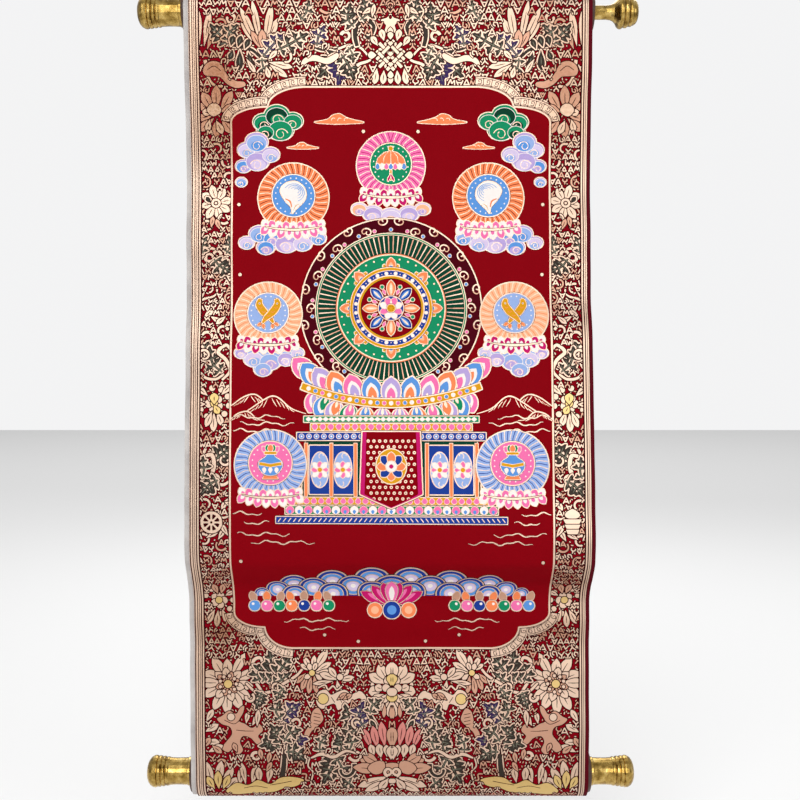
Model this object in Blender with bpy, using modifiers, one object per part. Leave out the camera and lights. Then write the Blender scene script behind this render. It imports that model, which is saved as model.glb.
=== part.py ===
"""A brocade wall hanging on two round rollers, with a turned knob at each roller end.

Metres, +Z up, the front of the cloth towards -Y. The origin is on the upper roller's axis,
halfway along it. "Left" and "right" are as seen from the front.
"""

import math

import bpy
import numpy as np

# Driving dimensions
CLOTH_WIDTH = 0.352
ROLLER_SPAN = 0.685
ROLL_RADIUS = 0.0216
BROCADE_THICKNESS = 0.0012
LINING_THICKNESS = 0.0010
GAP = 0.0003
ROLLER_LENGTH = 0.363
LOWER_ROLLER_SHIFT = 0.002
CLOTH_SHIFT_UPPER = 0.0022
CLOTH_SHIFT_LOWER = 0.0036
LINING_SHOWS = 0.0045
KNOB_LENGTH = 0.0403

# How the cloth wraps a roller and is glued down behind itself
WRAP_DEGREES = 235
LINING_WRAP_DEGREES = 205
GLUE_START = 0.046
GLUE_LENGTH = 0.014
ARC_STEP_DEGREES = 12
HANG_STEPS = 96
EDGE_CURL = 0.0016
EDGE_CURL_WIDTH = 0.030

# The hanging folds, in millimetres: depth below the upper axis, then how far the cloth
# stands forward of the rollers' front, at its left edge and at its right edge
FOLDS = (
    (0, 0.0, 0.0),
    (45, -1.0, -1.0),
    (95, -5.0, -6.0),
    (140, -8.5, -8.5),
    (205, -3.0, -3.0),
    (250, -1.5, 0.0),
    (290, 5.0, 10.0),
    (370, 14.0, 21.0),
    (425, 19.0, 28.0),
    (465, 21.0, 31.5),
    (483, 19.5, 30.0),
    (497, 12.5, 19.0),
    (510, 4.5, 6.5),
    (524, 0.5, 0.5),
    (540, 1.0, 1.0),
    (562, -2.0, -2.0),
    (590, 0.0, 0.0),
    (640, 1.0, 2.0),
    (685, 0.0, 0.0),
)

# Roller and knob details
ROLLER_RADIUS = ROLL_RADIUS - BROCADE_THICKNESS - LINING_THICKNESS - 2 * GAP
ROLLER_SIDES = 48
ROLLER_EDGE = 0.0022
TENON_RADIUS = 0.0050
TENON_LENGTH = 0.018
BORE_RADIUS = TENON_RADIUS + GAP
BORE_DEPTH = TENON_LENGTH + 0.0010
KNOB_SIDES = 24

# Colours as seen, roughness and metallic value of each finish
FINISHES = {
    "brocade": ((0.30, 0.11, 0.06), 0.60, 0.15),
    "lining": ((0.72, 0.70, 0.69), 0.85, 0.0),
    "roller": ((0.045, 0.028, 0.022), 0.45, 0.0),
    "brass": ((0.72, 0.50, 0.16), 0.25, 1.0),
}


def clear_scene():
    for item in list(bpy.data.objects):
        bpy.data.objects.remove(item)


def collection(name):
    made = bpy.data.collections.new(name)
    bpy.context.scene.collection.children.link(made)
    return made


def finish(name):
    """The material of that name, made once."""
    if name in bpy.data.materials:
        return bpy.data.materials[name]
    colour, roughness, metallic = FINISHES[name]
    material = bpy.data.materials.new(name)
    material.use_nodes = True
    shader = material.node_tree.nodes["Principled BSDF"]
    shader.inputs["Base Color"].default_value = (*colour, 1.0)
    shader.inputs["Roughness"].default_value = roughness
    shader.inputs["Metallic"].default_value = metallic
    return material


def place(mesh, name, material, home):
    obj = bpy.data.objects.new(name, mesh)
    obj.data.materials.append(finish(material))
    home.objects.link(obj)
    return obj


def smooth_through(knots, values, at):
    """A curve through the values that has no overshoot, level at both ends."""
    step = np.diff(knots)
    slope = np.diff(values) / step
    tangent = np.zeros(len(knots))
    same_way = slope[:-1] * slope[1:] > 0
    before = slope[:-1][same_way]
    after = slope[1:][same_way]
    tangent[1:-1][same_way] = 2 * before * after / (before + after)
    cell = np.clip(np.searchsorted(knots, at, side="right") - 1, 0, len(step) - 1)
    t = (at - knots[cell]) / step[cell]
    start = (1 + 2 * t) * (1 - t) ** 2 * values[cell]
    end = t * t * (3 - 2 * t) * values[cell + 1]
    lean_start = t * (1 - t) ** 2 * step[cell] * tangent[cell]
    lean_end = t * t * (t - 1) * step[cell] * tangent[cell + 1]
    return start + end + lean_start + lean_end


def forward(across, below):
    """How far the cloth stands forward of the rollers' front, at a place across it and below the axis."""
    knots, left, right = np.array(FOLDS).T / 1000
    share = np.clip(across / CLOTH_WIDTH + 0.5, 0, 1)
    folds = (1 - share) * smooth_through(knots, left, below) + share * smooth_through(knots, right, below)
    from_edge = np.clip((CLOTH_WIDTH / 2 - abs(across)) / EDGE_CURL_WIDTH, 0, 1)
    curl = EDGE_CURL * (1 - from_edge) ** 2 * np.sin(math.pi * below / ROLLER_SPAN) ** 2
    return folds - curl


def wrap_end(across, degrees, depth_at):
    """Points of one wrapped end, from the loose end to just before the roller's front.

    They are (y, z) about that roller's axis, with z pointing away from the hanging part, and
    depth_at turns a distance from that axis into a depth below the upper one.
    """
    last = math.radians(degrees)
    steps = round(degrees / ARC_STEP_DEGREES)
    angles = np.linspace(last, 0, steps + 1)[:-1]
    arc = np.stack([-ROLL_RADIUS * np.cos(angles), ROLL_RADIUS * np.sin(angles)], axis=1)
    if degrees < WRAP_DEGREES:
        return arc
    layers = 2 * BROCADE_THICKNESS + LINING_THICKNESS + 3 * GAP
    down = np.linspace(GLUE_START + GLUE_LENGTH, GLUE_START, 4)
    glued = np.stack([layers - ROLL_RADIUS - forward(across, depth_at(down)), -down], axis=1)
    leave = arc[0]
    heading = np.array([math.sin(last), math.cos(last)])
    uphill = (glued[-1] - glued[0]) / np.linalg.norm(glued[-1] - glued[0])
    reach = 0.6 * np.linalg.norm(glued[-1] - leave)
    t = np.linspace(0, 1, 8)[1:-1, None]
    bow = (
        (1 - t) ** 3 * glued[-1]
        + 3 * (1 - t) ** 2 * t * (glued[-1] + 0.45 * reach * uphill)
        + 3 * (1 - t) * t**2 * (leave + reach * heading)
        + t**3 * leave
    )
    return np.concatenate([glued, bow, arc])


def section(across, degrees):
    """The cloth's front face at one place across it: (y, z) from behind the upper roller,
    over it, down the front and round the lower roller."""
    below = np.linspace(0, ROLLER_SPAN, HANG_STEPS + 1)
    hanging = np.stack([-ROLL_RADIUS - forward(across, below), -below], axis=1)
    upper = wrap_end(across, degrees, lambda down: down)
    lower = wrap_end(across, degrees, lambda down: ROLLER_SPAN - down)
    lower = lower * (1, -1) + (0, -ROLLER_SPAN)
    return np.concatenate([upper, hanging, lower[::-1]])


def pushed_in(points, depth):
    """The section moved towards the lining side by a depth."""
    ahead = np.gradient(points, axis=0)
    ahead /= np.linalg.norm(ahead, axis=1)[:, None]
    inward = np.stack([-ahead[:, 1], ahead[:, 0]], axis=1)
    return points + depth * inward


def sheet(name, columns, degrees, depth, thickness, material, home):
    """A cloth whose front face is the section at each column, pushed in by a depth."""
    sections = [pushed_in(section(across, degrees), depth) for across in columns]
    rows = len(sections[0])
    bpy.ops.mesh.primitive_grid_add(x_subdivisions=len(columns) - 1, y_subdivisions=rows - 1)
    grid = bpy.context.object
    mesh = grid.data
    for vertex in mesh.vertices:
        column = round((vertex.co.x + 1) / 2 * (len(columns) - 1))
        row = round((vertex.co.y + 1) / 2 * (rows - 1))
        y, z = sections[column][rows - 1 - row]
        share = min(max(-z / ROLLER_SPAN, 0), 1)
        shift = (1 - share) * CLOTH_SHIFT_UPPER + share * CLOTH_SHIFT_LOWER
        vertex.co = (columns[column] + shift, y, z)
    bpy.data.objects.remove(grid)
    cloth = place(mesh, name, material, home)
    wall = cloth.modifiers.new("thickness", "SOLIDIFY")
    wall.thickness = thickness
    wall.offset = -1
    wall.use_even_offset = True
    mesh.shade_smooth()
    return cloth


def cylinder(name, radius, length, sides, centre):
    """A cylinder along X, as a mesh object in no collection of the model yet."""
    bpy.ops.mesh.primitive_cylinder_add(radius=radius, depth=length, vertices=sides)
    made = bpy.context.object
    made.name = name
    made.rotation_euler = (0, math.pi / 2, 0)
    made.location = centre
    return made


def roller(name, centre, home, cutters):
    rod = cylinder(name, ROLLER_RADIUS, ROLLER_LENGTH, ROLLER_SIDES, centre)
    rod.data.materials.append(finish("roller"))
    for owner in list(rod.users_collection):
        owner.objects.unlink(rod)
    home.objects.link(rod)
    edge = rod.modifiers.new("rounded ends", "BEVEL")
    edge.width = ROLLER_EDGE
    edge.segments = 2
    edge.limit_method = "ANGLE"
    edge.angle_limit = math.radians(60)
    for side, way in (("left", -1), ("right", 1)):
        mouth = centre[0] + way * ROLLER_LENGTH / 2
        bore = cylinder(f"bore_{name}_{side}", BORE_RADIUS, 2 * BORE_DEPTH, KNOB_SIDES, (mouth, *centre[1:]))
        for owner in list(bore.users_collection):
            owner.objects.unlink(bore)
        cutters.objects.link(bore)
        bore.hide_render = True
        bore.display_type = "WIRE"
        cut = rod.modifiers.new(f"bore {side}", "BOOLEAN")
        cut.object = bore
        cut.operation = "DIFFERENCE"
    rod.data.shade_smooth()
    rod.data.set_sharp_from_angle(angle=math.radians(40))
    return rod


def ring(start, width, seat, rise):
    """Profile points of one turned ring: a low round swelling on its seat radius."""
    shares = (0.0, 0.2, 0.5, 0.8, 1.0)
    return [(start + share * width, seat + rise * math.sin(math.pi * share) ** 0.6) for share in shares]


def rounded_end(start, radius, length, flat):
    """Profile points of the knob's outer end, a quarter of an oval down to a small flat disc."""
    turns = np.radians((15, 35, 55, 72, 90))
    across = flat + (radius - flat) * np.cos(turns)
    along = start + length * np.sin(turns)
    return list(zip(along, across))


def collared_profile():
    """Distance out from the roller's end and radius, in metres, of a knob on a wide collar."""
    outline = [(GAP, 0.0118), (0.0009, 0.0127), (0.0026, 0.0128), (0.0034, 0.0121)]
    outline += [(0.0080, 0.0119), (0.0137, 0.0118), (0.0196, 0.0121)]
    outline += ring(0.0202, 0.0033, 0.0122, 0.0007)
    outline += ring(0.0239, 0.0033, 0.0126, 0.0008)
    outline += ring(0.0276, 0.0033, 0.0131, 0.0008)
    outline += [(0.0313, 0.0138), (0.0328, 0.0143)]
    return outline + rounded_end(0.0328, 0.0143, KNOB_LENGTH - 0.0328, 0.0050)


def slim_profile():
    """The same for a knob that stands on a bare, slim neck."""
    outline = [(GAP, 0.0070), (0.0010, 0.0071), (0.0018, 0.0062), (0.0120, 0.0061), (0.0160, 0.0066)]
    outline += [(0.0186, 0.0078), (0.0206, 0.0098), (0.0220, 0.0124)]
    outline += ring(0.0228, 0.0042, 0.0134, 0.0009)
    outline += ring(0.0273, 0.0042, 0.0125, 0.0009)
    outline += ring(0.0318, 0.0038, 0.0114, 0.0009)
    return outline + rounded_end(0.0358, 0.0112, KNOB_LENGTH - 0.0358, 0.0044)


def knob(name, outline, end_of_roller, way, home):
    """A turned knob: its profile spun about the roller's axis, with its tenon in the bore."""
    tenon = [(GAP, TENON_RADIUS), (-TENON_LENGTH, TENON_RADIUS)]
    spun = [(KNOB_LENGTH, 0.0), *reversed(outline), *tenon, (-TENON_LENGTH, 0.0)]
    mesh = bpy.data.meshes.new(name)
    edges = [(i, i + 1) for i in range(len(spun) - 1)]
    mesh.from_pydata([(radius, 0, along) for along, radius in spun], edges, [])
    turned = place(mesh, name, "brass", home)
    turned.location = end_of_roller
    turned.rotation_euler = (0, way * math.pi / 2, 0)
    screw = turned.modifiers.new("turned", "SCREW")
    screw.steps = KNOB_SIDES
    screw.render_steps = KNOB_SIDES
    screw.use_merge_vertices = True
    screw.merge_threshold = 0.00002
    screw.use_smooth_shade = True
    return turned


def build():
    clear_scene()
    home = collection("wall_hanging")
    cutters = collection("cutters")
    half = CLOTH_WIDTH / 2
    columns = (-half, EDGE_CURL_WIDTH * 0.6 - half, EDGE_CURL_WIDTH - half, 0.0)
    columns += tuple(-across for across in reversed(columns[:3]))
    sheet("brocade", columns, WRAP_DEGREES, 0.0, BROCADE_THICKNESS, "brocade", home)
    behind = (columns[0] - LINING_SHOWS, *columns)
    depth = BROCADE_THICKNESS + GAP
    sheet("lining", behind, LINING_WRAP_DEGREES, depth, LINING_THICKNESS, "lining", home)
    heights = {"upper": (0.0, 0.0), "lower": (LOWER_ROLLER_SHIFT, -ROLLER_SPAN)}
    for level, (shift, height) in heights.items():
        roller(f"roller_{level}", (shift, 0.0, height), home, cutters)
        for side, way in (("left", -1), ("right", 1)):
            outline = slim_profile() if (level, side) == ("upper", "right") else collared_profile()
            end = (shift + way * ROLLER_LENGTH / 2, 0.0, height)
            knob(f"knob_{level}_{side}", outline, end, way, home)


build()
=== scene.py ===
# %% [markdown]
# A brocade wall hanging on two round rollers. The woven cloth carries a wide border of lotus
# flowers, scrolling leaves and small line figures in gold on crimson, round a crimson panel
# with a picture in many colours. It is glued round a stained rod at the top and another at
# the bottom, and each rod ends in a turned brass knob.
#
# The measured solids come in as a fixed frame. This script lays the fine cloth over them.

import math
import random

import bpy
import numpy as np
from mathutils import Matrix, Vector, geometry


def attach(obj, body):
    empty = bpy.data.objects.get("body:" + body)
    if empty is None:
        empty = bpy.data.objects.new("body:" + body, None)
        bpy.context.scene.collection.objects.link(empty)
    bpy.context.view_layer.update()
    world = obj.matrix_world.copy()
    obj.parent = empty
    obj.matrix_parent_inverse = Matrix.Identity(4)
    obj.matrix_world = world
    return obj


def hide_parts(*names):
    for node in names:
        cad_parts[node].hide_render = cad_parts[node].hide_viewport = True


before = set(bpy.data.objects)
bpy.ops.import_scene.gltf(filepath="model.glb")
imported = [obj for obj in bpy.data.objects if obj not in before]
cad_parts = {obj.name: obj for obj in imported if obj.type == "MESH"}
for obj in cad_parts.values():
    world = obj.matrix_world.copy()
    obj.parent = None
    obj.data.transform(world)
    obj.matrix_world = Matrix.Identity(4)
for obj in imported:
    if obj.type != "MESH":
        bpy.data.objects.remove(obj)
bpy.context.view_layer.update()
scene = bpy.context.scene
print("solids:", sorted(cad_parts))

# %% [markdown]
# Materials here are small graphs of nodes. Sums in a graph are easier to read as plain
# expressions, so a thin class wraps an output socket, and each sign adds one Math node.
# Every other node comes from one method that takes its type, settings and inputs.

# %% Expressions for node graphs
class Wire:
    """An output socket that can be added, multiplied and compared."""

    def __init__(self, tree, socket):
        self.tree, self.socket = tree, socket

    def sum_with(self, operation, other, swapped=False):
        node = self.tree.nodes.new("ShaderNodeMath")
        node.operation = operation
        first, second = (other, self) if swapped else (self, other)
        for socket, value in zip(node.inputs, (first, second)):
            if isinstance(value, Wire):
                self.tree.links.new(value.socket, socket)
            elif value is not None:
                socket.default_value = value
        return Wire(self.tree, node.outputs[0])

    def __add__(self, other):
        return self.sum_with("ADD", other)

    def __sub__(self, other):
        return self.sum_with("SUBTRACT", other)

    def __mul__(self, other):
        return self.sum_with("MULTIPLY", other)

    def __rsub__(self, other):
        return self.sum_with("SUBTRACT", other, swapped=True)

    def __gt__(self, other):
        return self.sum_with("GREATER_THAN", other)

    __radd__, __rmul__ = __add__, __mul__

    def sine(self):
        return self.sum_with("SINE", None)


class Finish:
    """A new material, with one method for all the nodes that it needs."""

    def __init__(self, name):
        self.material = bpy.data.materials.new(name)
        self.material.use_nodes = True
        self.tree = self.material.node_tree
        self.shader = self.tree.nodes["Principled BSDF"]

    def node(self, kind, settings=None, output=0, **values):
        """Adds a node. Settings come first, then its sockets, named with _ for a space."""
        node = self.tree.nodes.new(kind)
        for name, value in (settings or {}).items():
            if name == "stops":
                ramp = node.color_ramp
                while len(ramp.elements) < len(value):
                    ramp.elements.new(0.5)
                for stop, (place, colour) in zip(ramp.elements, value):
                    stop.position, stop.color = place, colour
            else:
                setattr(node, name, value)
        for name, value in values.items():
            label = name.replace("_", " ")
            socket = next(s for s in node.inputs if s.name == label and s.enabled)
            self.join(value, socket)
        return Wire(self.tree, node.outputs[output])

    def join(self, value, socket):
        if isinstance(value, Wire):
            self.tree.links.new(value.socket, socket)
        else:
            socket.default_value = value

    def wear(self, **values):
        """Sets or links the surface shader's own sockets."""
        for name, value in values.items():
            self.join(value, self.shader.inputs[name.replace("_", " ")])

    def mixed(self, factor, first, second, how="MIX"):
        settings = {"data_type": "RGBA", "blend_type": how}
        return self.node("ShaderNodeMix", settings, output=2, Factor=factor, A=first, B=second)

    def read(self, name, output=2):
        """The number or colour that the mesh holds under a name."""
        return self.node("ShaderNodeAttribute", {"attribute_name": name}, output=output)


def shade(red, green, blue):
    """A colour as seen on a screen, 0 to 255, as the linear colour that shaders take."""
    def linear(value):
        value /= 255
        return value / 12.92 if value <= 0.04045 else ((value + 0.055) / 1.055) ** 2.4
    return (linear(red), linear(green), linear(blue), 1.0)


print("crimson in linear light:", [round(c, 3) for c in shade(150, 8, 28)[:3]])

# %% [markdown]
# The picture was taken a metre from the cloth, level with its middle and looking slightly
# down, which makes the foot look a little narrower than the head. Soft light from above and
# in front shows the folds: what leans back faces it and shines, what leans forward goes dull.

# %% Camera, floor and lights
EYE = Vector((0.0106, -1.0, -0.3007))
LOOKS_DOWN = 0.0441
FOCAL_PIXELS = 1108.8
PICTURE = 800
FLOOR_LEVEL = -0.80


def aim(thing, place, at):
    thing.location = place
    thing.rotation_euler = (Vector(at) - Vector(place)).to_track_quat("-Z", "Y").to_euler()


lens = bpy.data.cameras.new("camera")
lens.sensor_width = 36.0
lens.lens = FOCAL_PIXELS * lens.sensor_width / PICTURE
lens.clip_start = 0.05
camera = bpy.data.objects.new("camera", lens)
scene.collection.objects.link(camera)
camera.location = EYE
camera.rotation_euler = (math.pi / 2 - LOOKS_DOWN, 0, 0)
scene.camera = camera
scene.view_settings.view_transform = "Standard"


def softbox(name, place, at, size, power, colour=(1, 1, 1)):
    lamp = bpy.data.lights.new(name, "AREA")
    lamp.shape = "RECTANGLE"
    lamp.size, lamp.size_y = size
    lamp.energy = power
    lamp.color = colour
    made = bpy.data.objects.new(name, lamp)
    scene.collection.objects.link(made)
    aim(made, place, at)


softbox("key_light", (-0.4, -1.9, 0.55), (0, 0, -0.32), (1.6, 0.9), 29)
softbox("fill_light", (1.4, -1.4, 0.0), (0, 0, -0.4), (0.8, 1.0), 5)
softbox("back_light", (0.2, 1.5, 0.9), (0, 0, -0.3), (1.6, 1.0), 14)
softbox("floor_light", (0, 3.4, 2.0), (0, 3.6, FLOOR_LEVEL), (5.0, 4.0), 34)

room = bpy.data.worlds.new("pale_room")
room.use_nodes = True
tree = room.node_tree
backdrop = tree.nodes["Background"]
backdrop.inputs["Color"].default_value = (0.90, 0.90, 0.905, 1)
ambient = tree.nodes.new("ShaderNodeBackground")
direction = tree.nodes.new("ShaderNodeSeparateXYZ")
height = tree.nodes.new("ShaderNodeMapRange")
for name, value in (("From Min", -0.25), ("From Max", 0.55), ("To Min", 0.18), ("To Max", 0.80)):
    height.inputs[name].default_value = value
which = tree.nodes.new("ShaderNodeMixShader")
for start, end in (
        (tree.nodes.new("ShaderNodeTexCoord").outputs["Generated"], direction.inputs[0]),
        (direction.outputs["Z"], height.inputs["Value"]), (height.outputs[0], ambient.inputs["Strength"]),
        (tree.nodes.new("ShaderNodeLightPath").outputs["Is Camera Ray"], which.inputs[0]),
        (ambient.outputs[0], which.inputs[1]), (backdrop.outputs[0], which.inputs[2]),
        (which.outputs[0], tree.nodes["World Output"].inputs["Surface"])):
    tree.links.new(start, end)
scene.world = room

floor_mesh = bpy.data.meshes.new("floor")
reach = 6.0
floor_mesh.from_pydata(
    [(-reach, -reach, FLOOR_LEVEL), (reach, -reach, FLOOR_LEVEL), (reach, reach, FLOOR_LEVEL), (-reach, reach, FLOOR_LEVEL)],
    [], [(0, 1, 2, 3)])
floor = bpy.data.objects.new("floor", floor_mesh)
scene.collection.objects.link(floor)
plain = Finish("pale_floor")
plain.wear(Base_Color=(0.86, 0.86, 0.86, 1), Roughness=0.9)
floor_mesh.materials.append(plain.material)
print("camera lens in mm:", round(lens.lens, 1))

# %% [markdown]
# The cloth hangs in slow folds: drawn in below the top rod, bellied forward at two thirds of
# its height and tucked back under that. A table of depths gives them at the left and the
# right edge, and the same curves as in the solids run through it. Then one function can lay
# any point of the flat cloth, in millimetres across and down, on the folded one.

# %% The folded surface
CLOTH_WIDTH = 0.352
ROLLER_SPAN = 0.685
ROLL_RADIUS = 0.0216
CLOTH_SHIFTS = (0.0022, 0.0036)
WRAP_DEGREES = 235
GLUE_START, GLUE_LENGTH = 0.046, 0.014
GLUED_LAYERS = 2 * 0.0012 + 0.0010 + 3 * 0.0003
EDGE_CURL, EDGE_CURL_WIDTH = 0.0016, 0.030
FOLDS = np.array((
    (0, 0.0, 0.0), (45, -1.0, -1.0), (95, -5.0, -6.0), (140, -8.5, -8.5), (205, -3.0, -3.0),
    (250, -1.5, 0.0), (290, 5.0, 10.0), (370, 14.0, 21.0), (425, 19.0, 28.0), (465, 21.0, 31.5),
    (483, 19.5, 30.0), (497, 12.5, 19.0), (510, 4.5, 6.5), (524, 0.5, 0.5), (540, 1.0, 1.0),
    (562, -2.0, -2.0), (590, 0.0, 0.0), (640, 1.0, 2.0), (685, 0.0, 0.0))) / 1000


def smooth_through(knots, values, at):
    """A curve through the values that has no overshoot, level at both ends."""
    step = np.diff(knots)
    slope = np.diff(values) / step
    tangent = np.zeros(len(knots))
    same_way = slope[:-1] * slope[1:] > 0
    before, after = slope[:-1][same_way], slope[1:][same_way]
    tangent[1:-1][same_way] = 2 * before * after / (before + after)
    cell = np.clip(np.searchsorted(knots, at, side="right") - 1, 0, len(step) - 1)
    t = (at - knots[cell]) / step[cell]
    level = (1 + 2 * t) * (1 - t) ** 2 * values[cell] + t * t * (3 - 2 * t) * values[cell + 1]
    return level + step[cell] * t * (1 - t) * ((1 - t) * tangent[cell] - t * tangent[cell + 1])


def forward(across, below):
    """How far the cloth stands forward of the rods' front, in metres."""
    knots, left, right = FOLDS.T
    share = min(max(across / CLOTH_WIDTH + 0.5, 0), 1)
    folds = (1 - share) * smooth_through(knots, left, below) + share * smooth_through(knots, right, below)
    from_edge = min(max((CLOTH_WIDTH / 2 - abs(across)) / EDGE_CURL_WIDTH, 0), 1)
    return folds - EDGE_CURL * (1 - from_edge) ** 2 * np.sin(math.pi * below / ROLLER_SPAN) ** 2


def wrapped_end(across, depth_at):
    """Points (y, z) of one wrapped end about its rod, from the rod's front to the loose end."""
    last = math.radians(WRAP_DEGREES)
    angles = np.linspace(0, last, 80)
    arc = ROLL_RADIUS * np.stack([-np.cos(angles), np.sin(angles)], axis=1)
    down = np.linspace(GLUE_START, GLUE_START + GLUE_LENGTH, 12)
    glued = np.stack([GLUED_LAYERS - ROLL_RADIUS - forward(across, depth_at(down)), -down], axis=1)
    leave, heading = arc[-1], np.array([math.sin(last), math.cos(last)])
    uphill = (glued[0] - glued[-1]) / np.linalg.norm(glued[0] - glued[-1])
    reach = 0.6 * np.linalg.norm(glued[0] - leave)
    t = np.linspace(0, 1, 30)[1:-1, None]
    bow = (
        (1 - t) ** 3 * leave + 3 * (1 - t) ** 2 * t * (leave + reach * heading)
        + 3 * (1 - t) * t**2 * (glued[0] + 0.45 * reach * uphill) + t**3 * glued[0])
    return np.concatenate([arc, bow, glued])


def lengths(points):
    return np.concatenate([[0], np.cumsum(np.linalg.norm(np.diff(points, axis=0), axis=1))])


BELOW = np.linspace(0, ROLLER_SPAN, 2741)
middle = np.stack([-ROLL_RADIUS - forward(0, BELOW), -BELOW], axis=1)
FRONT_ARC = lengths(middle) * 1000
FRONT_END = FRONT_ARC[-1]
WRAP_LENGTH = lengths(wrapped_end(0, lambda down: down))[-1] * 1000
HALF_WIDTH = CLOTH_WIDTH * 500
print(f"cloth: {2 * HALF_WIDTH:.0f} mm wide, {FRONT_END:.0f} mm down the front, {WRAP_LENGTH:.0f} mm round each rod")

# %% [markdown]
# The surface is kept as a table of cross-sections, one row for each millimetre of cloth. A
# point between rows is found with a cubic through the four nearest, so that the fine mesh
# shades smoothly. Shallow ripples come on top: cloth this light is never quite flat.

# %% Laying points on the folds
COLUMNS = np.concatenate([np.linspace(-184, -146, 20), np.linspace(-140, 140, 15), np.linspace(146, 184, 20)])
FIRST_ROW, LAST_ROW = -int(WRAP_LENGTH), int(FRONT_END + WRAP_LENGTH)
ROWS = np.arange(FIRST_ROW, LAST_ROW + 1)


def cross_section(across):
    """(y, z) at each row of the table, for one place across the cloth."""
    across = min(max(across, -HALF_WIDTH), HALF_WIDTH) / 1000
    below = np.interp(ROWS, FRONT_ARC, BELOW)
    section = np.stack([-ROLL_RADIUS - forward(across, below), -below], axis=1)
    upper = wrapped_end(across, lambda down: down)
    lower = wrapped_end(across, lambda down: ROLLER_SPAN - down) * (1, -1) - (0, ROLLER_SPAN)
    for end, rows, out in ((upper, ROWS < 0, -ROWS), (lower, ROWS > FRONT_END, ROWS - FRONT_END)):
        along = lengths(end)
        at = out[rows] / WRAP_LENGTH * along[-1]
        section[rows] = np.stack([np.interp(at, along, end[:, 0]), np.interp(at, along, end[:, 1])], axis=1)
    return section


SECTIONS = np.stack([cross_section(across) for across in COLUMNS])


def ripples(x, s):
    """Small waves of the cloth in metres, none at the glued ends and edges."""
    calm = np.clip(s / 60, 0, 1) * np.clip((FRONT_END - s) / 60, 0, 1)
    waves = (
        0.30 * np.sin(s / 14.5 + 1.1 * np.sin(x / 55 + 0.6) + 0.4)
        + 0.16 * np.sin(s / 7.3 + 2.2 * np.sin(x / 38 - 1.0) + 1.9)
        + 0.22 * np.sin(x / 16.0 + 0.9 * np.sin(s / 47.0) + 2.6)
        + 0.12 * np.sin(x / 6.1 + s / 31.0))
    puckers = 0.35 * np.exp(-(HALF_WIDTH - abs(x)) / 7) * np.sin(s / 9.1 + 1.4 * np.sin(s / 37.0) + x / 300)
    return calm * (waves + puckers) / 1000


def lay(x, s, depth=0.0):
    """Places points of the flat cloth, in millimetres, on its folds. Depth goes towards the lining."""
    x, s = np.asarray(x, float), np.asarray(s, float)
    column = np.clip(np.searchsorted(COLUMNS, x, side="right") - 1, 0, len(COLUMNS) - 2)
    side_share = np.clip((x - COLUMNS[column]) / (COLUMNS[column + 1] - COLUMNS[column]), 0, 1)[:, None]
    row = np.clip(s - FIRST_ROW, 0, len(ROWS) - 1.001)
    base = np.clip(row.astype(int), 1, len(ROWS) - 3)
    t = (row - base)[:, None]
    a, b, c, d = (
        SECTIONS[column, base + k] * (1 - side_share) + SECTIONS[column + 1, base + k] * side_share
        for k in (-1, 0, 1, 2))
    curve = 0.5 * (2 * b + (c - a) * t + (2 * a - 5 * b + 4 * c - d) * t**2 + (3 * b - a - 3 * c + d) * t**3)
    ahead = 0.5 * ((c - a) + 2 * (2 * a - 5 * b + 4 * c - d) * t + 3 * (3 * b - a - 3 * c + d) * t**2)
    ahead /= np.linalg.norm(ahead, axis=1)[:, None]
    inward = np.stack([-ahead[:, 1], ahead[:, 0]], axis=1)
    y, z = (curve + (depth - ripples(x, s))[:, None] * inward).T
    share = np.clip(-z / ROLLER_SPAN, 0, 1)
    shift = (1 - share) * CLOTH_SHIFTS[0] + share * CLOTH_SHIFTS[1]
    return np.stack([x / 1000 + shift, y, z], axis=1)


print("middle of the cloth:", lay([0.0], [FRONT_END / 2]).round(4).tolist())

# %% [markdown]
# A weaver works from a chart: squared paper on which each square says what thread shows.
# Here the chart is an array with four squares to the millimetre. Each motif is a closed
# outline, and a square takes the motif's thread where it lies inside. Growing the outline a
# little and filling it dark first gives the thin dark contour that runs round every motif.

# %% The weaver's chart
CELL = 0.25
THREADS = (
    "ground", "contour", "gold", "leaf", "tan", "blush", "violet", "maroon", "yellow", "satin",
    "green", "lilac", "sky", "blue", "orange", "rose", "magenta", "ochre", "white", "foliage", "ink", "selvage",
    "mist", "haze", "peach", "fern")
NUMBER = {name: k for k, name in enumerate(THREADS)}
NO_MOTIF_NEAR = 9.0


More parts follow.
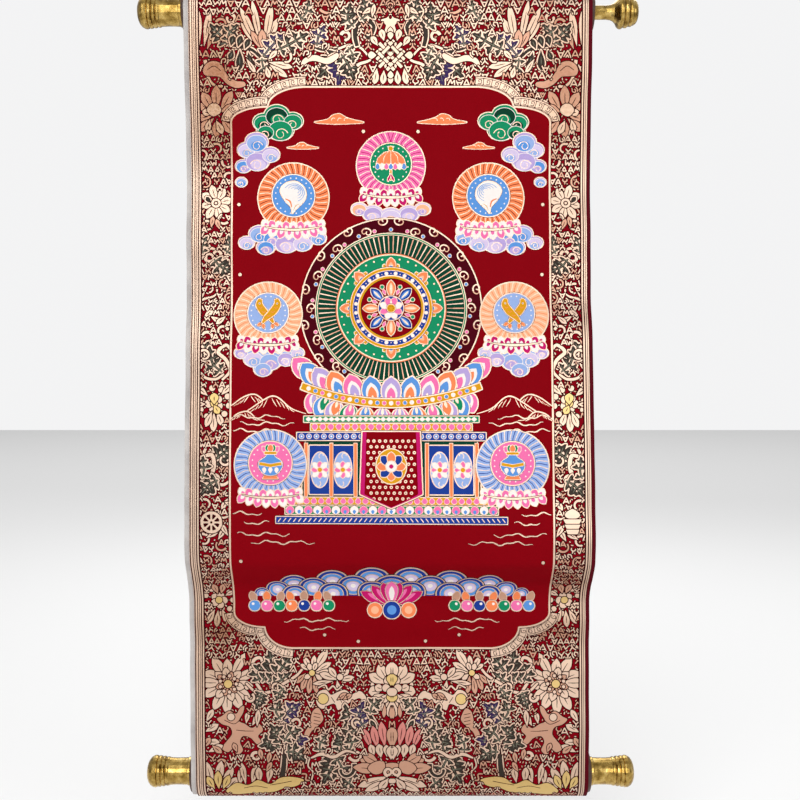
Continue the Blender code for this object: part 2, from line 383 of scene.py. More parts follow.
class Chart:
    """Thread numbers over a rectangle of cloth, and how much room each square has."""

    def __init__(self, left, top, right, bottom):
        self.left, self.top = left, top
        self.shape = (round((bottom - top) / CELL), round((right - left) / CELL))
        self.thread = np.zeros(self.shape, np.uint8)
        self.room = np.full(self.shape, NO_MOTIF_NEAR, np.float32)

    def window(self, low, high):
        """The slices of the chart between two corners, and the places of their squares."""
        corner = np.array((self.left, self.top))
        (i0, j0), (i1, j1) = ((low - corner) / CELL).astype(int), ((high - corner) / CELL).astype(int) + 2
        i0, j0 = max(i0, 0), max(j0, 0)
        i1, j1 = min(i1, self.shape[1]), min(j1, self.shape[0])
        if i1 <= i0 or j1 <= j0:
            return None
        xs = self.left + (np.arange(i0, i1, dtype=np.float32) + 0.5) * CELL
        ys = self.top + (np.arange(j0, j1, dtype=np.float32) + 0.5) * CELL
        return (slice(j0, j1), slice(i0, i1)), xs, ys

    def ink(self, shapes, layers, claims=True, within=None):
        """Fills closed outlines in layers of (how far grown, thread), the widest first."""
        corners = np.concatenate(shapes)
        reach = layers[0][0] + (2.5 if claims else 0.3)
        found = self.window(corners.min(0) - reach, corners.max(0) + reach)
        if found is None:
            return
        where, xs, ys = found
        near = np.minimum.reduce([distance(shape, xs, ys) for shape in shapes])
        if within is not None:
            near = np.where(distance(within, xs, ys) < 0, near, NO_MOTIF_NEAR)
        for grown, thread in layers:
            self.thread[where][near < grown] = NUMBER[thread]
        if claims:
            np.minimum(self.room[where], near, out=self.room[where])

    def free(self, x, y):
        i, j = int((x - self.left) / CELL), int((y - self.top) / CELL)
        return self.room[j, i] if 0 <= j < self.shape[0] and 0 <= i < self.shape[1] else -1


def distance(outline, xs, ys):
    """Distance of each square to a closed outline, below zero inside it."""
    x, y = xs[None, :], ys[:, None]
    least = np.full((len(ys), len(xs)), 1e9, np.float32)
    inside = np.zeros(least.shape, bool)
    outline = np.asarray(outline, np.float32)
    for (ax, ay), (bx, by) in zip(outline, np.roll(outline, -1, axis=0)):
        ex, ey = bx - ax, by - ay
        share = ((x - ax) * ex + (y - ay) * ey) / (ex * ex + ey * ey + 1e-9)
        np.clip(share, 0, 1, out=share)
        np.minimum(least, (x - ax - share * ex) ** 2 + (y - ay - share * ey) ** 2, out=least)
        if ay != by:
            inside ^= ((ay > y) != (by > y)) & (x < ax + (y - ay) * ex / ey)
    return np.where(inside, -1, 1) * np.sqrt(least)


# %% [markdown]
# All the motifs grow from a few outlines: a petal, a strip that follows a line, a tendril
# that winds itself up, a disc, and an acanthus leaf, which is a spine with pairs of lobes.

# %% Outlines
def smooth(points, closed=False, steps=5):
    """A rounded line through the points."""
    p = np.asarray(points, float)
    ends = (p[-1:], p[:2]) if closed else (2 * p[:1] - p[1:2], 2 * p[-1:] - p[-2:-1])
    p = np.concatenate([ends[0], p, ends[1]])
    t = (np.arange(steps) / steps)[:, None]
    parts = [
        0.5 * (2 * b + (c - a) * t + (2 * a - 5 * b + 4 * c - d) * t**2 + (3 * b - a - 3 * c + d) * t**3)
        for a, b, c, d in zip(p, p[1:], p[2:], p[3:])]
    return np.concatenate(parts if closed else [*parts, p[-2:-1]])


def strip(line, widths):
    """A band along a line, with widths spread evenly over its length."""
    line = np.asarray(line, float)
    wide = np.interp(np.linspace(0, 1, len(line)), np.linspace(0, 1, len(widths)), widths) / 2
    ahead = np.gradient(line, axis=0)
    ahead /= np.linalg.norm(ahead, axis=1)[:, None] + 1e-9
    side = np.stack([-ahead[:, 1], ahead[:, 0]], axis=1) * wide[:, None]
    return np.concatenate([line + side, (line - side)[::-1]])


def heading(degrees):
    return np.array([math.cos(math.radians(degrees)), math.sin(math.radians(degrees))])


def petal(base, angle, length, width, fat=0.6, point=0.75, steps=8, bend=0.0):
    """A petal from its base; fat says how far along it is widest, point how sharp it ends."""
    t = np.linspace(0, 1, steps)
    wide = width / 2 * np.sin(math.pi * t ** (math.log(0.5) / math.log(fat))) ** point
    turned = np.radians(angle + bend * t)
    ahead = np.stack([np.cos(turned), np.sin(turned)], axis=1)
    walked = np.cumsum((ahead[1:] + ahead[:-1]) / 2 * np.diff(t)[:, None], axis=0)
    spine = np.asarray(base) + length * np.concatenate([[(0, 0)], walked])
    side = wide[:, None] * np.stack([-ahead[:, 1], ahead[:, 0]], axis=1)
    return np.concatenate([spine + side, (spine - side)[::-1][1:-1]])


def disc(centre, radius, squash=1.0, steps=16):
    turns = np.linspace(0, 2 * math.pi, steps, endpoint=False)
    return np.stack([centre[0] + radius * np.cos(turns), centre[1] + squash * radius * np.sin(turns)], axis=1)


def tendril(start, angle, length, bend, bend_end, wide, steps=14):
    """A stem that bends by so many degrees a millimetre, more and more, and ends in a bud."""
    s = (np.arange(steps) + 0.5) * length / steps
    turned = np.radians(angle + bend * s + (bend_end - bend) * s**2 / (2 * length))
    path = np.cumsum(np.stack([np.cos(turned), np.sin(turned)], axis=1) * length / steps, axis=0)
    path = np.concatenate([[start], start + path])
    return [strip(path, (wide, wide * 0.6)), disc(path[-1], wide * 0.45, steps=8)]


def acanthus(spine, lobes, size, spread=58):
    """A leaf whose lobes curl away in pairs from a spine, and the veins inside it."""
    spine = smooth(spine)
    ahead = np.gradient(spine, axis=0)
    ways = np.degrees(np.arctan2(ahead[:, 1], ahead[:, 0]))
    shapes = [strip(spine, (size * 0.16, size * 0.30, size * 0.22))]
    veins = [strip(spine[: int(len(spine) * 0.9)], (0.4, 0.7, 0.4))]
    tips = [(spine[-2], ways[-1], size * 1.05, 0.4), (spine[-2], ways[-1] - 40, size * 0.72, -1), (spine[-2], ways[-1] + 40, size * 0.72, 1)]
    for k in range(int(lobes)):
        share = (k + 0.4) / (lobes + 0.3)
        at = int(share * (len(spine) - 1))
        long = size * (0.82 + 0.4 * math.sin(math.pi * share))
        tips += [(spine[at], ways[at] + side * spread, long, side) for side in (-1, 1)]
    for at, way, long, side in tips:
        shapes.append(petal(at, way, long, long * 0.34, 0.56, 0.8, 8, side * 44))
        shapes.append(petal(at + 0.36 * long * heading(way + side * 8), way - side * 34, long * 0.5, long * 0.24, 0.5, 0.9, 6))
        veins.append(strip([at, at + 0.62 * long * heading(way + side * 12)], (0.7, 0.4)))
    return shapes, veins


print("a petal has", len(petal((0, 0), 0, 10, 4)), "points")

# %% [markdown]
# The border's motifs are listed in drawing order, one to a line: its kind, its thread, its
# own sizes and, after the bar, its points in millimetres from the cloth's middle line and
# down from the top rod. A line that starts with spaces carries on the one above. Only the left half is listed, because the cloth is woven with
# mirrored halves. Angles are in degrees, with 90 pointing down the cloth.

# %% Motifs of the border
TOP_MOTIFS = """
petal gold -100 28.2 7 | -171.3 38.5
petal gold -92 37 7 | -166.9 38.5
petal gold -80 31.7 6.2 | -162.5 35.9
petal tan -70 21.1 5.3 | -159.9 38.5
curl gold 10 17.6 13.6 18.2 2.8 | -138.6 7.8
curl tan -60 14.1 10.2 17 2.3 | -151.8 14.6
stem leafy 1.9 2.8 2.6 1.9 | -155.4 24  -146.8 31.7  -132.9 35.1  -120.7 38.5  -110.4 47.9
leaf leafy 3 7.5 | -142.4 34.2  -147.6 26.5  -153.6 20.6
leaf leafy 2 6.2 | -141.5 31.7  -140.6 24.8  -136.2 19.7
petal leafy -75 9.2 5.3 | -139 35.1
petal leafy -72 10.1 5.3 | -132.9 35.9
petal leafy -66 9.2 4.8 | -126.8 37.6
petal leafy 110 8.8 4.8 | -137.3 38.5
petal leafy 92 17.6 6.2 | -131.2 38.5
petal leafy 75 16.7 5.7 | -124.2 40.2
petal gold 58 15.8 4 | -126 45.3
petal gold 46 10.6 3.5 | -120.8 45.3
petal gold -128 29.9 5.7, -52 21.1 6.2 | -112 38.5
petal gold -115 40.5 6.2 | -113.7 38.5
petal gold -66 29.9 6.6 | -110.2 38.5
petal gold -101 44 5.7 | -112 38.5
petal gold -80 40.5 6.6 | -110.2 38.5
petal tan -118 19.4 5.3 | -112 39.3
petal tan -62 17.6 6.2 | -109.4 39.3
petal tan -92 19.4 7 | -111.1 40.2
leaf dusk 3 7.5 | -112.1 45.3  -104.1 35.9  -95.3 27.4
leaf leafy 3 7.9 | -98.9 38.5  -87.5 33.4  -76.1 26.5
leaf leafy 2 5.7 | -112.1 45.3  -111.3 52.1  -107.9 56.4
petal gold -45 11.4 4.4 | -106.9 47
petal gold 12 22 5.7 | -106.9 48.7
petal gold 35 19.4 5.3 | -106 50.4
petal gold 75 10.6 4.8 | -108.7 52.1
curl gold 60 11.4 6.8 18.2 2.1 | -87.6 41
stem leafy 1.9 1.9 1.8 | -67.4 27.4  -65.8 35.9  -57.1 38.5  -45.7 37.6
leaf dusk 2 6.6 | -64 35.1  -63.1 28.2  -59.6 21.4
curl gold -75 15.8 14.8 17 3 | -43 25.7
leaf leafy 3 9.7 | -45.7 38.5  -50.2 48.7  -58.1 57.2
leaf dusk 3 10.6 | -44.9 38.5  -43.2 50.4  -44.2 60.6
leaf leafy 3 8.4 | -43.1 41.9  -37.1 50.4  -33.6 58.1
blob gold | -78.1 50.4  -74.6 45.3  -65.8 42.8  -56.2 45.3  -46.6 41  -45.8 45.3  -54.5 50.4  -65 47.9
    -72 48.7  -75.5 53
stem gold 1.9 2.1 1.4 | -45.7 37.6  -35.2 34.2  -25.7 36.8  -18.7 44.5
leaf leafy 2 5.3 | -37 35.9  -33.5 41  -32.7 45.3
stem leafy 3 3.7 3.5 2.3 1.9 | -29.1 35.1  -30.8 26.5  -29.1 17.2  -20.3 12.9  -14.3 18.9  -17.8 27.4
    -22.1 26.5
leaf leafy 3 7.5 | -31.7 18.9  -36.9 12  -36 3.5
leaf leafy 3 7 | -26.4 12.9  -20.3 6.9  -22.9 -1.7
petal gold -30 10.6 4.4 | -24.7 7.8
petal gold -80 12.3 4 | -16 11.2
curl gold -50 19.4 10.2 -18.2 2.6 | -29.2 52.1
curl tan 60 21.1 -11.4 13.6 2.3 | -61.2 3.5
curl gold 20 15.8 12.5 15.9 2.3 | -78.6 7.8
leaf leafy 2 5.7 | -78.6 12.9  -73.4 6.9  -71.6 0.1
blob gold | 0.6 2.6  3.2 10.3  9.2 12.9  4.9 17.2  5.7 22.3  0.5 26.5  -4.7 22.3  -3.8 17.2  -8.2 12.9
    -2.1 10.3
eye gold 1.5 | 0.5 10.3
petal gold 100 14.1 6.2 | -11.8 53.8
petal gold 95 12.3 5.7 | -5.7 55.5
petal gold 90 12.3 5.7 | 0.4 55.5
petal gold -125 10.6 5.3 | -10.8 35.1
petal gold -105 10.6 5.7 | -5.6 30.8
petal gold -90 11.4 6.2 | 0.5 30
knot gold 15 | 0.5 42.8
curl gold 80 29.9 1.7 -8 3 | -161.8 47
blob tan | -163.7 55.5  -161 50.4  -154.9 47.9  -148.8 49.6  -145.4 54.7  -142 60.6  -135.1 64.9
    -128.1 65.7  -127.3 69.1  -135.2 70.8  -143 67.4  -149 61.5  -156.9 60.6  -162.1 59.8
mark dark | -160.2 55.5  -154.1 52.1  -148 56.4
"""
SIDE_MOTIFS = """
petal tan -150 14.1 7.9, -118 19.4 8.4 | -155.9 91.3
petal tan -88 22.9 8.4 | -153.2 91.3
petal tan -58 21.1 7.9, -20 14.1 7 | -149.7 91.3
petal tan 170 12.3 7 | -156.8 94.8
petal tan 140 17.6 7.9 | -155.1 96.5
petal tan 95 17.6 7.9 | -152.5 96.5
petal tan 55 17.6 7.9 | -149 95.6
petal tan 20 12.3 6.2 | -148.9 94.8
petal gold -165 8.8 6.2 | -156.8 93
petal gold -8 9.7 5.7 | -148 93
petal gold 65 13.2 6.2 | -153.4 98.2
petal gold 105 11.4 5.3 | -158.7 97.3
blob gold | -161.1 89.6  -157.5 84.5  -152.2 84.5  -148.8 88.8  -150.7 93  -156.8 94.8
curl gold -40 14.1 11.4 17 2.1 | -156.6 119.6
curl gold -30 15.8 -10.2 -18.2 2.1 | -164.8 132.6
curl gold 100 15.8 -9.1 -15.9 2.1 | -148.9 132.6
curl tan 10 15.8 9.1 14.8 1.9 | -164.1 146.6
curl gold -90 14.1 11.4 17 2.1 | -147.3 148.4
petal gold -150 15 7.9, -105 15.8 7 | -154.3 169.7
petal gold -60 14.1 6.6 | -153.4 169.7
petal gold -15 13.2 7 | -152.5 170.6
petal gold 30 13.2 7 | -153.4 171.5
petal gold 75 14.1 7 | -154.3 171.5
petal gold 120 15 7 | -155.1 171.5
petal gold 165 12.3 6.2 | -156 170.6
petal leafy -130 7 4 | -158.7 170.6
disc gold 4.2 | -154.3 170.6
disc dark 2.2 | -154.3 170.6
disc gold 1.2 | -154.3 170.6
curl gold -40 15.8 11.4 17 2.1 | -164.7 187.6
curl gold 140 15.8 9.1 15.9 2.1 | -143.5 187.6
petal tan -80 10.6 4.4 | -158.5 192.9
petal tan -110 10.6 4.4 | -150.5 194.7
stem gold 2.3 2.8 2.3 | -168.3 220.3  -159.4 216.8  -148.8 219.4  -139.1 215.1
curl gold -120 21.1 13.6 19.3 2.6 | -161.1 216.8
curl gold -65 21.1 -14.8 -20.5 2.6 | -149.7 218.6
curl gold 80 21.1 -14.8 -19.3 2.6 | -163.8 219.4
leaf leafy 3 7.5 | -155.8 220.3  -150.6 226.5  -143.5 230
leaf leafy 2 5.7 | -145.2 215.9  -141.7 209.8  -142.6 203.6
leaf leafy 2 5.3 | -165.6 215.9  -166.4 209.7  -163.8 203.6
curl gold -20 13.2 11.4 17 1.9 | -163.1 242.3
curl tan 160 13.2 11.4 17 1.9 | -145.4 245.8
curl gold -35 17.6 8 -15.9 2.1 | -166.6 256.4
curl tan 190 15.8 9.1 14.8 1.9 | -141.8 260.1
petal gold -40 12.3 4.8 | -165.4 272.7
petal gold 30 13.2 4.8 | -159.2 270.9
petal gold 140 11.4 4.4 | -145.1 270.9
curl gold -60 19.4 10.2 15.9 2.6 | -165.9 288.1
curl gold -110 15.8 -10.2 -17 2.5 | -143 283.6
leaf leafy 2 6.2 | -162.9 312  -164.8 304.9  -162.2 297.9
leaf leafy 3 7.5 | -147.8 320.8  -155.8 313.8  -158.6 303.2
stem gold 1.9 3 3 2.1 | -147.8 327.8  -140.8 319.9  -144.4 310.2  -151.5 303.2  -144.6 297  -140.1 301.4
stem gold 1.9 2.3 1.8 | -167.3 320.8  -161.9 326.1  -153.1 327  -146.1 322.6
curl gold -50 17.6 11.4 17 2.3 | -167.5 303.2
beaded gold 13.2 10 10 | -154.6 348
petal gold 92 17.6 6.2 | -154.6 355.9
petal gold 112 15 5.7 | -156.3 355
petal gold 70 14.1 5.7 | -151.9 355
petal gold -140 13.2 5.3 | -160 341.9
petal gold -45 13.2 5.3 | -148.5 341
petal gold 178 10.6 5.3 | -161.7 348.9
petal yellow -90 10.6 7.9, 60 8.8 6.2 | -154.6 349.7
leaf leafy 3 9.2 | -156 399.5  -149 394.2  -142.9 389
stem gold 2.1 3 3.7 3 1.9 | -161.4 387.3  -164 394.3  -156 393.4  -154.2 402.9  -155.9 413.4  -147.1 419.4
    -139.3 415.1
curl gold -80 17.6 -13.6 -19.3 2.5 | -149.8 415.1
leaf leafy 3 7.9 | -150.6 415.1  -157.6 418.6  -162 423.9
leaf leafy 2 6.2 | -164.7 413.5  -163 406.5  -163.9 398.7
curl gold 120 14.1 10.2 17 2.3 | -140.2 399.4
curl gold -30 15 11.4 17 2.1 | -164.6 432.6
petal gold 120 11.4 4.4 | -141.9 430.7
petal gold 20 8.8 4 | -145.3 434.2
curl gold 70 15.8 6.8 14.8 2.3 | -141 439.4
curl gold -10 15.8 10.2 15.9 2.3 | -164.6 462.1
petal gold -30 12.3 4.4 | -161.1 465.6
petal gold -60 11.4 4.4 | -150.6 467.2
petal gold -120 12.3 4.4 | -141.9 463.7
curl tan 130 14.1 9.1 15.9 1.9 | -143.7 474.2
curl tan -20 14.1 10.2 15.9 1.9 | -163.2 481.6
beaded gold 12.3 9 200 | -153.7 532.1
petal gold 95 15.8 5.7 | -154.7 541
petal gold 118 15 5.3 | -157.4 540.2
petal gold 68 14.1 5.3 | -151.1 540.1
petal gold 160 11.4 5.3 | -160 534.8
petal gold -30 9.7 4.4 | -148.2 528.1
petal tan -110 11.4 5.3 | -154.3 526.1
petal tan -75 11.4 5.3 | -151.6 526.1
"""
FOOT_MOTIFS = """
petal gold -158 23.8 9.7, -122 26.4 9.2 | -146.4 606.4
petal gold -95 21.1 8.4 | -145.5 606.4
petal gold -62 28.2 7.9 | -144.6 605.5
petal gold -25 24.6 8.4 | -143.8 606.4
petal gold 5 21.1 8.4 | -144.7 608.2
petal gold 35 22.9 8.8 | -144.7 609.1
petal gold 62 23.8 8.8 | -145.6 610
petal gold 90 24.6 8.8 | -147.3 610.9
petal gold 118 24.6 8.8 | -148.2 610
petal gold 150 22.9 8.8 | -149.1 608.2
petal gold 180 22.9 8.8 | -150 607.3
petal gold -140 15 7, -100 14.1 7 | -146.4 607.3
petal gold -45 15 7 | -145.5 607.3
petal gold 15 14.1 7 | -145.5 608.2
petal gold 75 15 7 | -146.4 609.1
petal gold 130 15 7 | -147.3 609.1
petal tan -70 10.6 5.3 | -146.4 607.3
petal tan -20 10.6 5.3, 45 10.6 5.3 | -146.4 608.2
petal tan 100 10.6 5.3, 160 10.6 5.3 | -147.3 608.2
petal tan -140 10.6 5.3 | -147.3 607.3
disc gold 1.5 | -139.1 608.2
disc gold 1.5 | -140.8 612.9
disc gold 1.5 | -145.2 615.4
disc gold 1.5 | -150.1 614.6
disc gold 1.5 | -153.3 610.7
disc gold 1.5 | -153.3 605.7
disc gold 1.5 | -150.1 601.8
disc gold 1.5 | -145.1 600.9
disc gold 1.5 | -140.8 603.5
disc yellow 3.6 | -146.4 608.2
stem gold 2.3 3 3 2.3 1.9 | -115.2 616.2  -120.5 608.2  -125.9 597.4  -123.2 586.8  -117 585.1  -116 593
    -120.5 594.8
leaf leafy 3 7.5 | -117.9 606.4  -119.6 599.2  -116 593.9
leaf leafy 3 8.4 | -116.1 606.4  -107.1 595.7  -108.9 583.3
leaf leafy 3 8.4 | -110.7 606.4  -100.9 597.4  -93.7 586.8
leaf leafy 2 6.2 | -107.1 607.3  -100 605.5  -94.6 601
stem gold 1.9 2.6 2.6 1.9 | -130.4 607.3  -121.5 615.3  -108.9 615.3  -97.3 608.2  -85.7 601  -79.4 593.9
leaf leafy 3 6.6 | -116.1 615.3  -117.9 619.8  -119.7 626.1
curl gold 30 22.9 -10.2 -19.3 2.5 | -107.2 615.3
leaf leafy 2 5.7 | -96.4 611.8  -100 615.3  -101.8 619.8
curl gold 100 15 -13.6 -18.2 2.8 | -130.4 618.9
petal gold -150 12.3 4.4, -120 15 4.8 | -71.4 596.6
petal gold -85 14.1 4.8 | -70.5 596.6
petal gold -58 22.9 7 | -69.6 596.6
petal gold -30 16.7 5.3 | -68.7 597.4
petal gold -5 15 4.8 | -68.7 598.3
petal tan 112 15.8 5.3 | -75 599.2
petal tan 97 17.6 5.3 | -72.3 600.1
petal tan 82 16.7 5.3 | -69.6 600.1
petal tan 62 15 5.3 | -66.9 599.2
petal tan 135 13.2 4.8 | -76.7 598.3
petal gold -105 7.9 4.4 | -72.3 597.4
petal gold -70 8.8 4.4 | -70.5 597.4
petal gold 150 7.9 4.4 | -71.4 599.2
petal gold 40 7.9 4.4 | -68.7 599.2
disc yellow 2.6 | -71.4 598.3
petal gold -160 17.6 6.2 | -48.2 604.6
petal gold -128 13.2 5.3, -40 13.2 5.3 | -48.2 603.7
petal gold -10 14.1 5.3 | -47.3 604.6
petal gold 80 15 5.7 | -49.1 604.6
petal gold 172 19.4 4 | -51.8 605.5
disc gold 2.8 | -46.4 601.9
stem gold 1.2 1.4 1.2 | -66.1 611.7  -59.8 609.1  -57.1 613.5  -52.7 610  -49.1 613.5  -44.6 610
curl gold 175 26.4 12.5 22.7 2.6 | -13.4 613.5
petal gold -150 17.6 8.8 | -5.3 608.2
petal gold -120 17.6 9.7 | -3.5 606.4
petal gold -90 17.6 9.7 | -0.9 606.4
petal gold 170 12.3 9.7 | -8.9 613.5
petal gold 140 12.3 9.7 | -7.1 617.1
petal gold 115 13.2 9.7 | -3.6 620.7
petal gold 90 16.7 8.8 | -0.9 622.5
petal gold -110 11.4 7.9 | -0.9 611.7
petal gold -160 8.8 7 | -7.1 613.5
petal gold 120 8.8 7 | -4.4 617.1
petal yellow -90 10.6 7.9 | -0.9 609.9
petal yellow 90 10.6 7.9 | -0.9 613.5
disc gold 3.4 | -5.3 611.7
disc gold 3.6 | -0.9 615.3
petal tan 100 11.4 3.5 | -11.6 624.3
petal tan 95 12.3 3.5 | -6.3 626
petal tan 90 11.4 3.5 | -0.9 627.8
blob gold | -67.9 621.6  -65.2 615.3  -58.9 613.5  -54.5 618  -48.2 615.3  -42 613.5  -35.7 617.1
    -28.6 614.4  -23.2 619.8  -22.3 626.1  -25.9 625.2  -28.6 620.7  -35.7 623.4  -42.9 627.9  -48.3 631.5
    -50.9 626.1  -56.3 627  -61.7 630.6  -66.1 627.9
disc yellow 4.6 | -61.6 621.6
petal tan -35 10.6 4.4 | -49.1 622.5
petal tan -35 9.7 4 | -43.8 622.5
mark dark | -54.5 619.8  -50.9 625.2
mark dark | -47.3 618.9  -44.7 625.2
mark dark | -41.1 617.1  -39.3 623.4
blob tan | -70.6 632.4  -66.1 629.7  -62.6 635.1  -61.7 640.5  -67.1 646.8  -72.5 651.3  -76.1 659.5
    -78.8 659.5  -77.8 651.3  -73.3 644.1  -72.4 637.8
mark dark | -70.2 634.2  -63.9 635.5
mark dark | -70.2 637.3  -63.9 638.7
mark dark | -70.2 640.5  -63.9 641.8
mark dark | -70.2 643.6  -63.9 645
blob tan | -151.9 636.9  -145.7 632.4  -139.4 635.1  -135.8 629.7  -132.2 627.9  -133.2 634.2
    -136.8 641.4  -131.4 644.1  -125.2 647.8  -118.9 644.1  -115.4 649.6  -119.9 655  -116.4 660.5
    -120.9 662.3  -126.2 656.8  -133.3 655  -136.1 660.5  -133.5 667.9  -138.9 672.5  -141.5 666
    -146.9 669.7  -152.2 666  -147.7 659.6  -143.1 653.2  -144.9 646.9  -152 644.2  -156.4 639.6
disc gold 3.2 | -143.9 637.8
mark dark | -150.2 640.5  -141.3 644.1  -135.9 640.5
mark dark | -139.5 649.6  -130.6 650.5  -123.4 650.5
petal gold -80 11.4 4.4 | -130.5 644.1
petal gold -60 14.1 5.3 | -125.2 645.9
petal gold -85 15.8 4.8 | -120.7 646.8
petal gold -60 13.2 5.3 | -166.3 642.4
petal gold -30 14.1 6.2 | -167.3 651.4
petal gold 0 13.2 6.2 | -167.4 660.5
petal gold -25 15 6.2 | -164.8 669.7
petal tan -60 11.4 5.3 | -168.4 666.1
petal tan 40 11.4 5.3 | -161.2 663.3
curl gold -100 19.4 14.8 19.3 3 | -125.5 674.3
curl tan -60 15.8 13.6 18.2 2.5 | -156 678.9
stem leafy 2.3 2.8 2.3 | -94.9 656.8  -97.5 646.8  -101 636.9
leaf dusk 3 7.9 | -99.2 642.3  -93.8 634.2  -86.7 628.8
leaf leafy 2 6.2 | -99.2 640.5  -103.7 633.3  -101.8 627
curl gold -70 19.4 13.6 19.3 2.5 | -89.4 642.3
leaf leafy 3 8.4 | -29.5 647.7  -35.8 640.4  -40.2 632.3
leaf dusk 3 8.4 | -25.1 646.8  -29.5 638.6  -27.7 629.6
leaf leafy 3 7.9 | -32.2 647.7  -36.7 653.1  -35.9 661.3
stem leafy 2.1 2.8 3 2.3 | -10.8 652.2  -16.1 642.2  -20.6 634.1  -19.7 625.2
leaf leafy 2 6.2 | -19.7 635  -17.9 627.8  -13.4 624.3
petal leafy -120 11.4 4 | -13.5 650.4
curl gold -160 15.8 9.1 17 2.1 | -32.2 647.7
stem leafy 4 3.2 3.2 3.9 4.8 | -103 661.4  -99.4 663.2  -96.8 669.7  -96.9 680.8  -98.8 693.6
leaf leafy 3 8.4 | -100.3 666  -106.5 660.5  -111.9 662.3
leaf leafy 3 7.9 | -99.4 662.3  -101.1 655  -105.5 649.5
leaf dusk 3 8.8 | -95.8 666  -88.6 660.5  -82.4 658.6
leaf leafy 3 7.9 | -95 669.7  -87.8 669.7  -81.6 674.3
leaf leafy 2 6.6 | -96.7 660.5  -92.2 653.2  -85.9 650.4
stem tan 1.3 1.3 1.3 | -87.9 678.9  -79.9 678.9  -79.9 684.5  -87.1 684.5  -87.1 690  -77.3 690
    -77.3 695.5  -70.1 695.5
stem gold 1.3 1.3 1.3 | -73.5 674.3  -75.4 682.6  -71 688.1  -72.8 697.3
leaf leafy 2 5.7 | -64.6 669.7  -64.5 662.3  -60.9 656.8
leaf leafy 3 7.5 | -47.6 671.5  -44.8 663.2  -47.5 657.7
leaf leafy 2 6.2 | -39.5 669.6  -35.9 662.3  -37.6 656.8
leaf leafy 3 10.6 | -52 672.4  -53 681.7  -58.5 692.7
leaf leafy 2 7.5 | -50.3 674.3  -45.8 682.6  -44.1 690
stem gold 1.4 3.2 3 2.3 1.4 | -72.7 675.2  -62.8 671.5  -52.1 674.3  -41.3 668.7  -30.5 671.5
curl gold 60 19.4 -6.8 -17 2.8 | -38.6 674.3
leaf leafy 2 6.6 | -36 688.1  -37.8 696.4  -42.4 701.3
curl leafy 80 22.9 3.4 13.6 3 | -34.2 680.8
petal blush -110 21.1 6.2 | -18 667.8
petal blush -102 22.9 7 | -12.6 667.8
petal blush -98 24.6 7.5 | -6.4 665.9
petal tan -90 19.4 7.9 | -1 665.9
petal gold -105 12.3 6.2 | -16.2 674.3
petal gold -98 13.2 7.5 | -10 675.2
petal gold -93 11.4 6.2 | -4.6 674.3
petal gold -90 13.2 8.4 | -1 677
petal tan -160 22.9 9.7 | -7.3 684.5
petal tan -175 29.9 9.7 | -5.5 686.3
petal tan -150 17.6 8.8 | -10.9 680.8
blob tan | -1 679.8  6.1 681.7  8.8 685.4  5.2 690  -1.1 691.8  -7.3 690  -10.9 685.4  -8.2 681.7
blob tan | -7.3 678.9  -12.7 678  -19 680.8  -21.7 685.4  -16.3 690  -10 689.1  -6.4 684.5
petal gold 160 29.9 7.9 | -2.9 691.8
petal gold 150 26.4 7.9 | -2 694.6
petal gold 128 14.1 7 | -2.9 693.6
curl gold -170 17.6 15.9 22.7 3 | -3.8 691.8
disc gold 2.2 | -1.1 696.4
petal gold -130 15.8 7 | -161.9 703.5
petal gold -105 26.4 7 | -160.1 703.5
petal gold -80 26.4 7.5 | -157.4 703.5
petal gold -60 22.9 7 | -153.8 703.5
petal gold -40 15.8 7 | -149.3 703.5
petal yellow -118 14.1 6.2 | -159.3 704.7
petal yellow -92 17.6 7 | -155.7 704.7
petal yellow -65 15 6.2 | -152.1 704.7
petal gold -85 17.6 6.2 | -136.6 701.3
petal gold -100 21.1 5.3 | -131.2 700.3
petal gold -78 19.4 6.2 | -125.8 700.3
petal gold -95 15.8 6.2 | -118.6 699.3
petal gold -80 15.8 6.2 | -111.4 698.3
blob yellow | -149.6 707.4  -140.1 698.3  -129.4 700.3  -120.3 695.5  -109.6 699.3  -100.6 693.6
    -89.8 692.7  -79.1 695.5  -86.4 701.3  -97.2 703.5  -108.3 708.9  -128.3 710.6  -141.1 712.6
mark dark | -133.2 703.5  -122.3 701.3  -111.6 703.5
mark dark | -109.7 700.3  -98.9 698.3  -89.9 696.4
petal tan -110 8.8 4.4 | -138.9 669.7
petal tan -100 10.6 4.4 | -116.6 677.1
petal tan -80 11.4 4.4 | -111.2 680.8
petal tan -60 10.6 4.4 | -113.1 688.1
"""

# %% [markdown]
# Leaves are edged twice, with a pale line inside a dark one. Flowers have a single contour.

# %% Drawing the border
CONTOUR = 0.75
PLAIN_EDGE = {thread: ((CONTOUR, "contour"), (0, thread)) for thread in THREADS}
STYLES = dict(PLAIN_EDGE)
STYLES["leafy"] = ((1.8, "contour"), (1.2, "gold"), (0.15, "contour"), (-0.15, "leaf"))
STYLES["dusk"] = ((1.8, "contour"), (1.2, "gold"), (0.15, "contour"), (-0.15, "violet"))
STYLES["dark"] = ((0, "contour"),)
MARK_WIDTH = 0.6
LINE_WIDTH = 1.0


def beaded_flower(chart, at, size, beads, turn, thread):
    """A round heart of five lobes with a bead on each stamen."""
    for k in range(int(beads)):
        far = np.asarray(at) + size * heading(turn + 360 * k / beads)
        chart.ink([strip([at, far], (1.0, 0.9))], STYLES[thread])
        chart.ink([disc(far, size * 0.2, steps=10)], STYLES[thread])
    for k in range(5):
        chart.ink([disc(np.asarray(at) + 0.36 * size * heading(turn + 20 + 72 * k), size * 0.27, steps=10)], STYLES[thread])
    chart.ink([disc(at, size * 0.25, steps=10)], STYLES["yellow"])


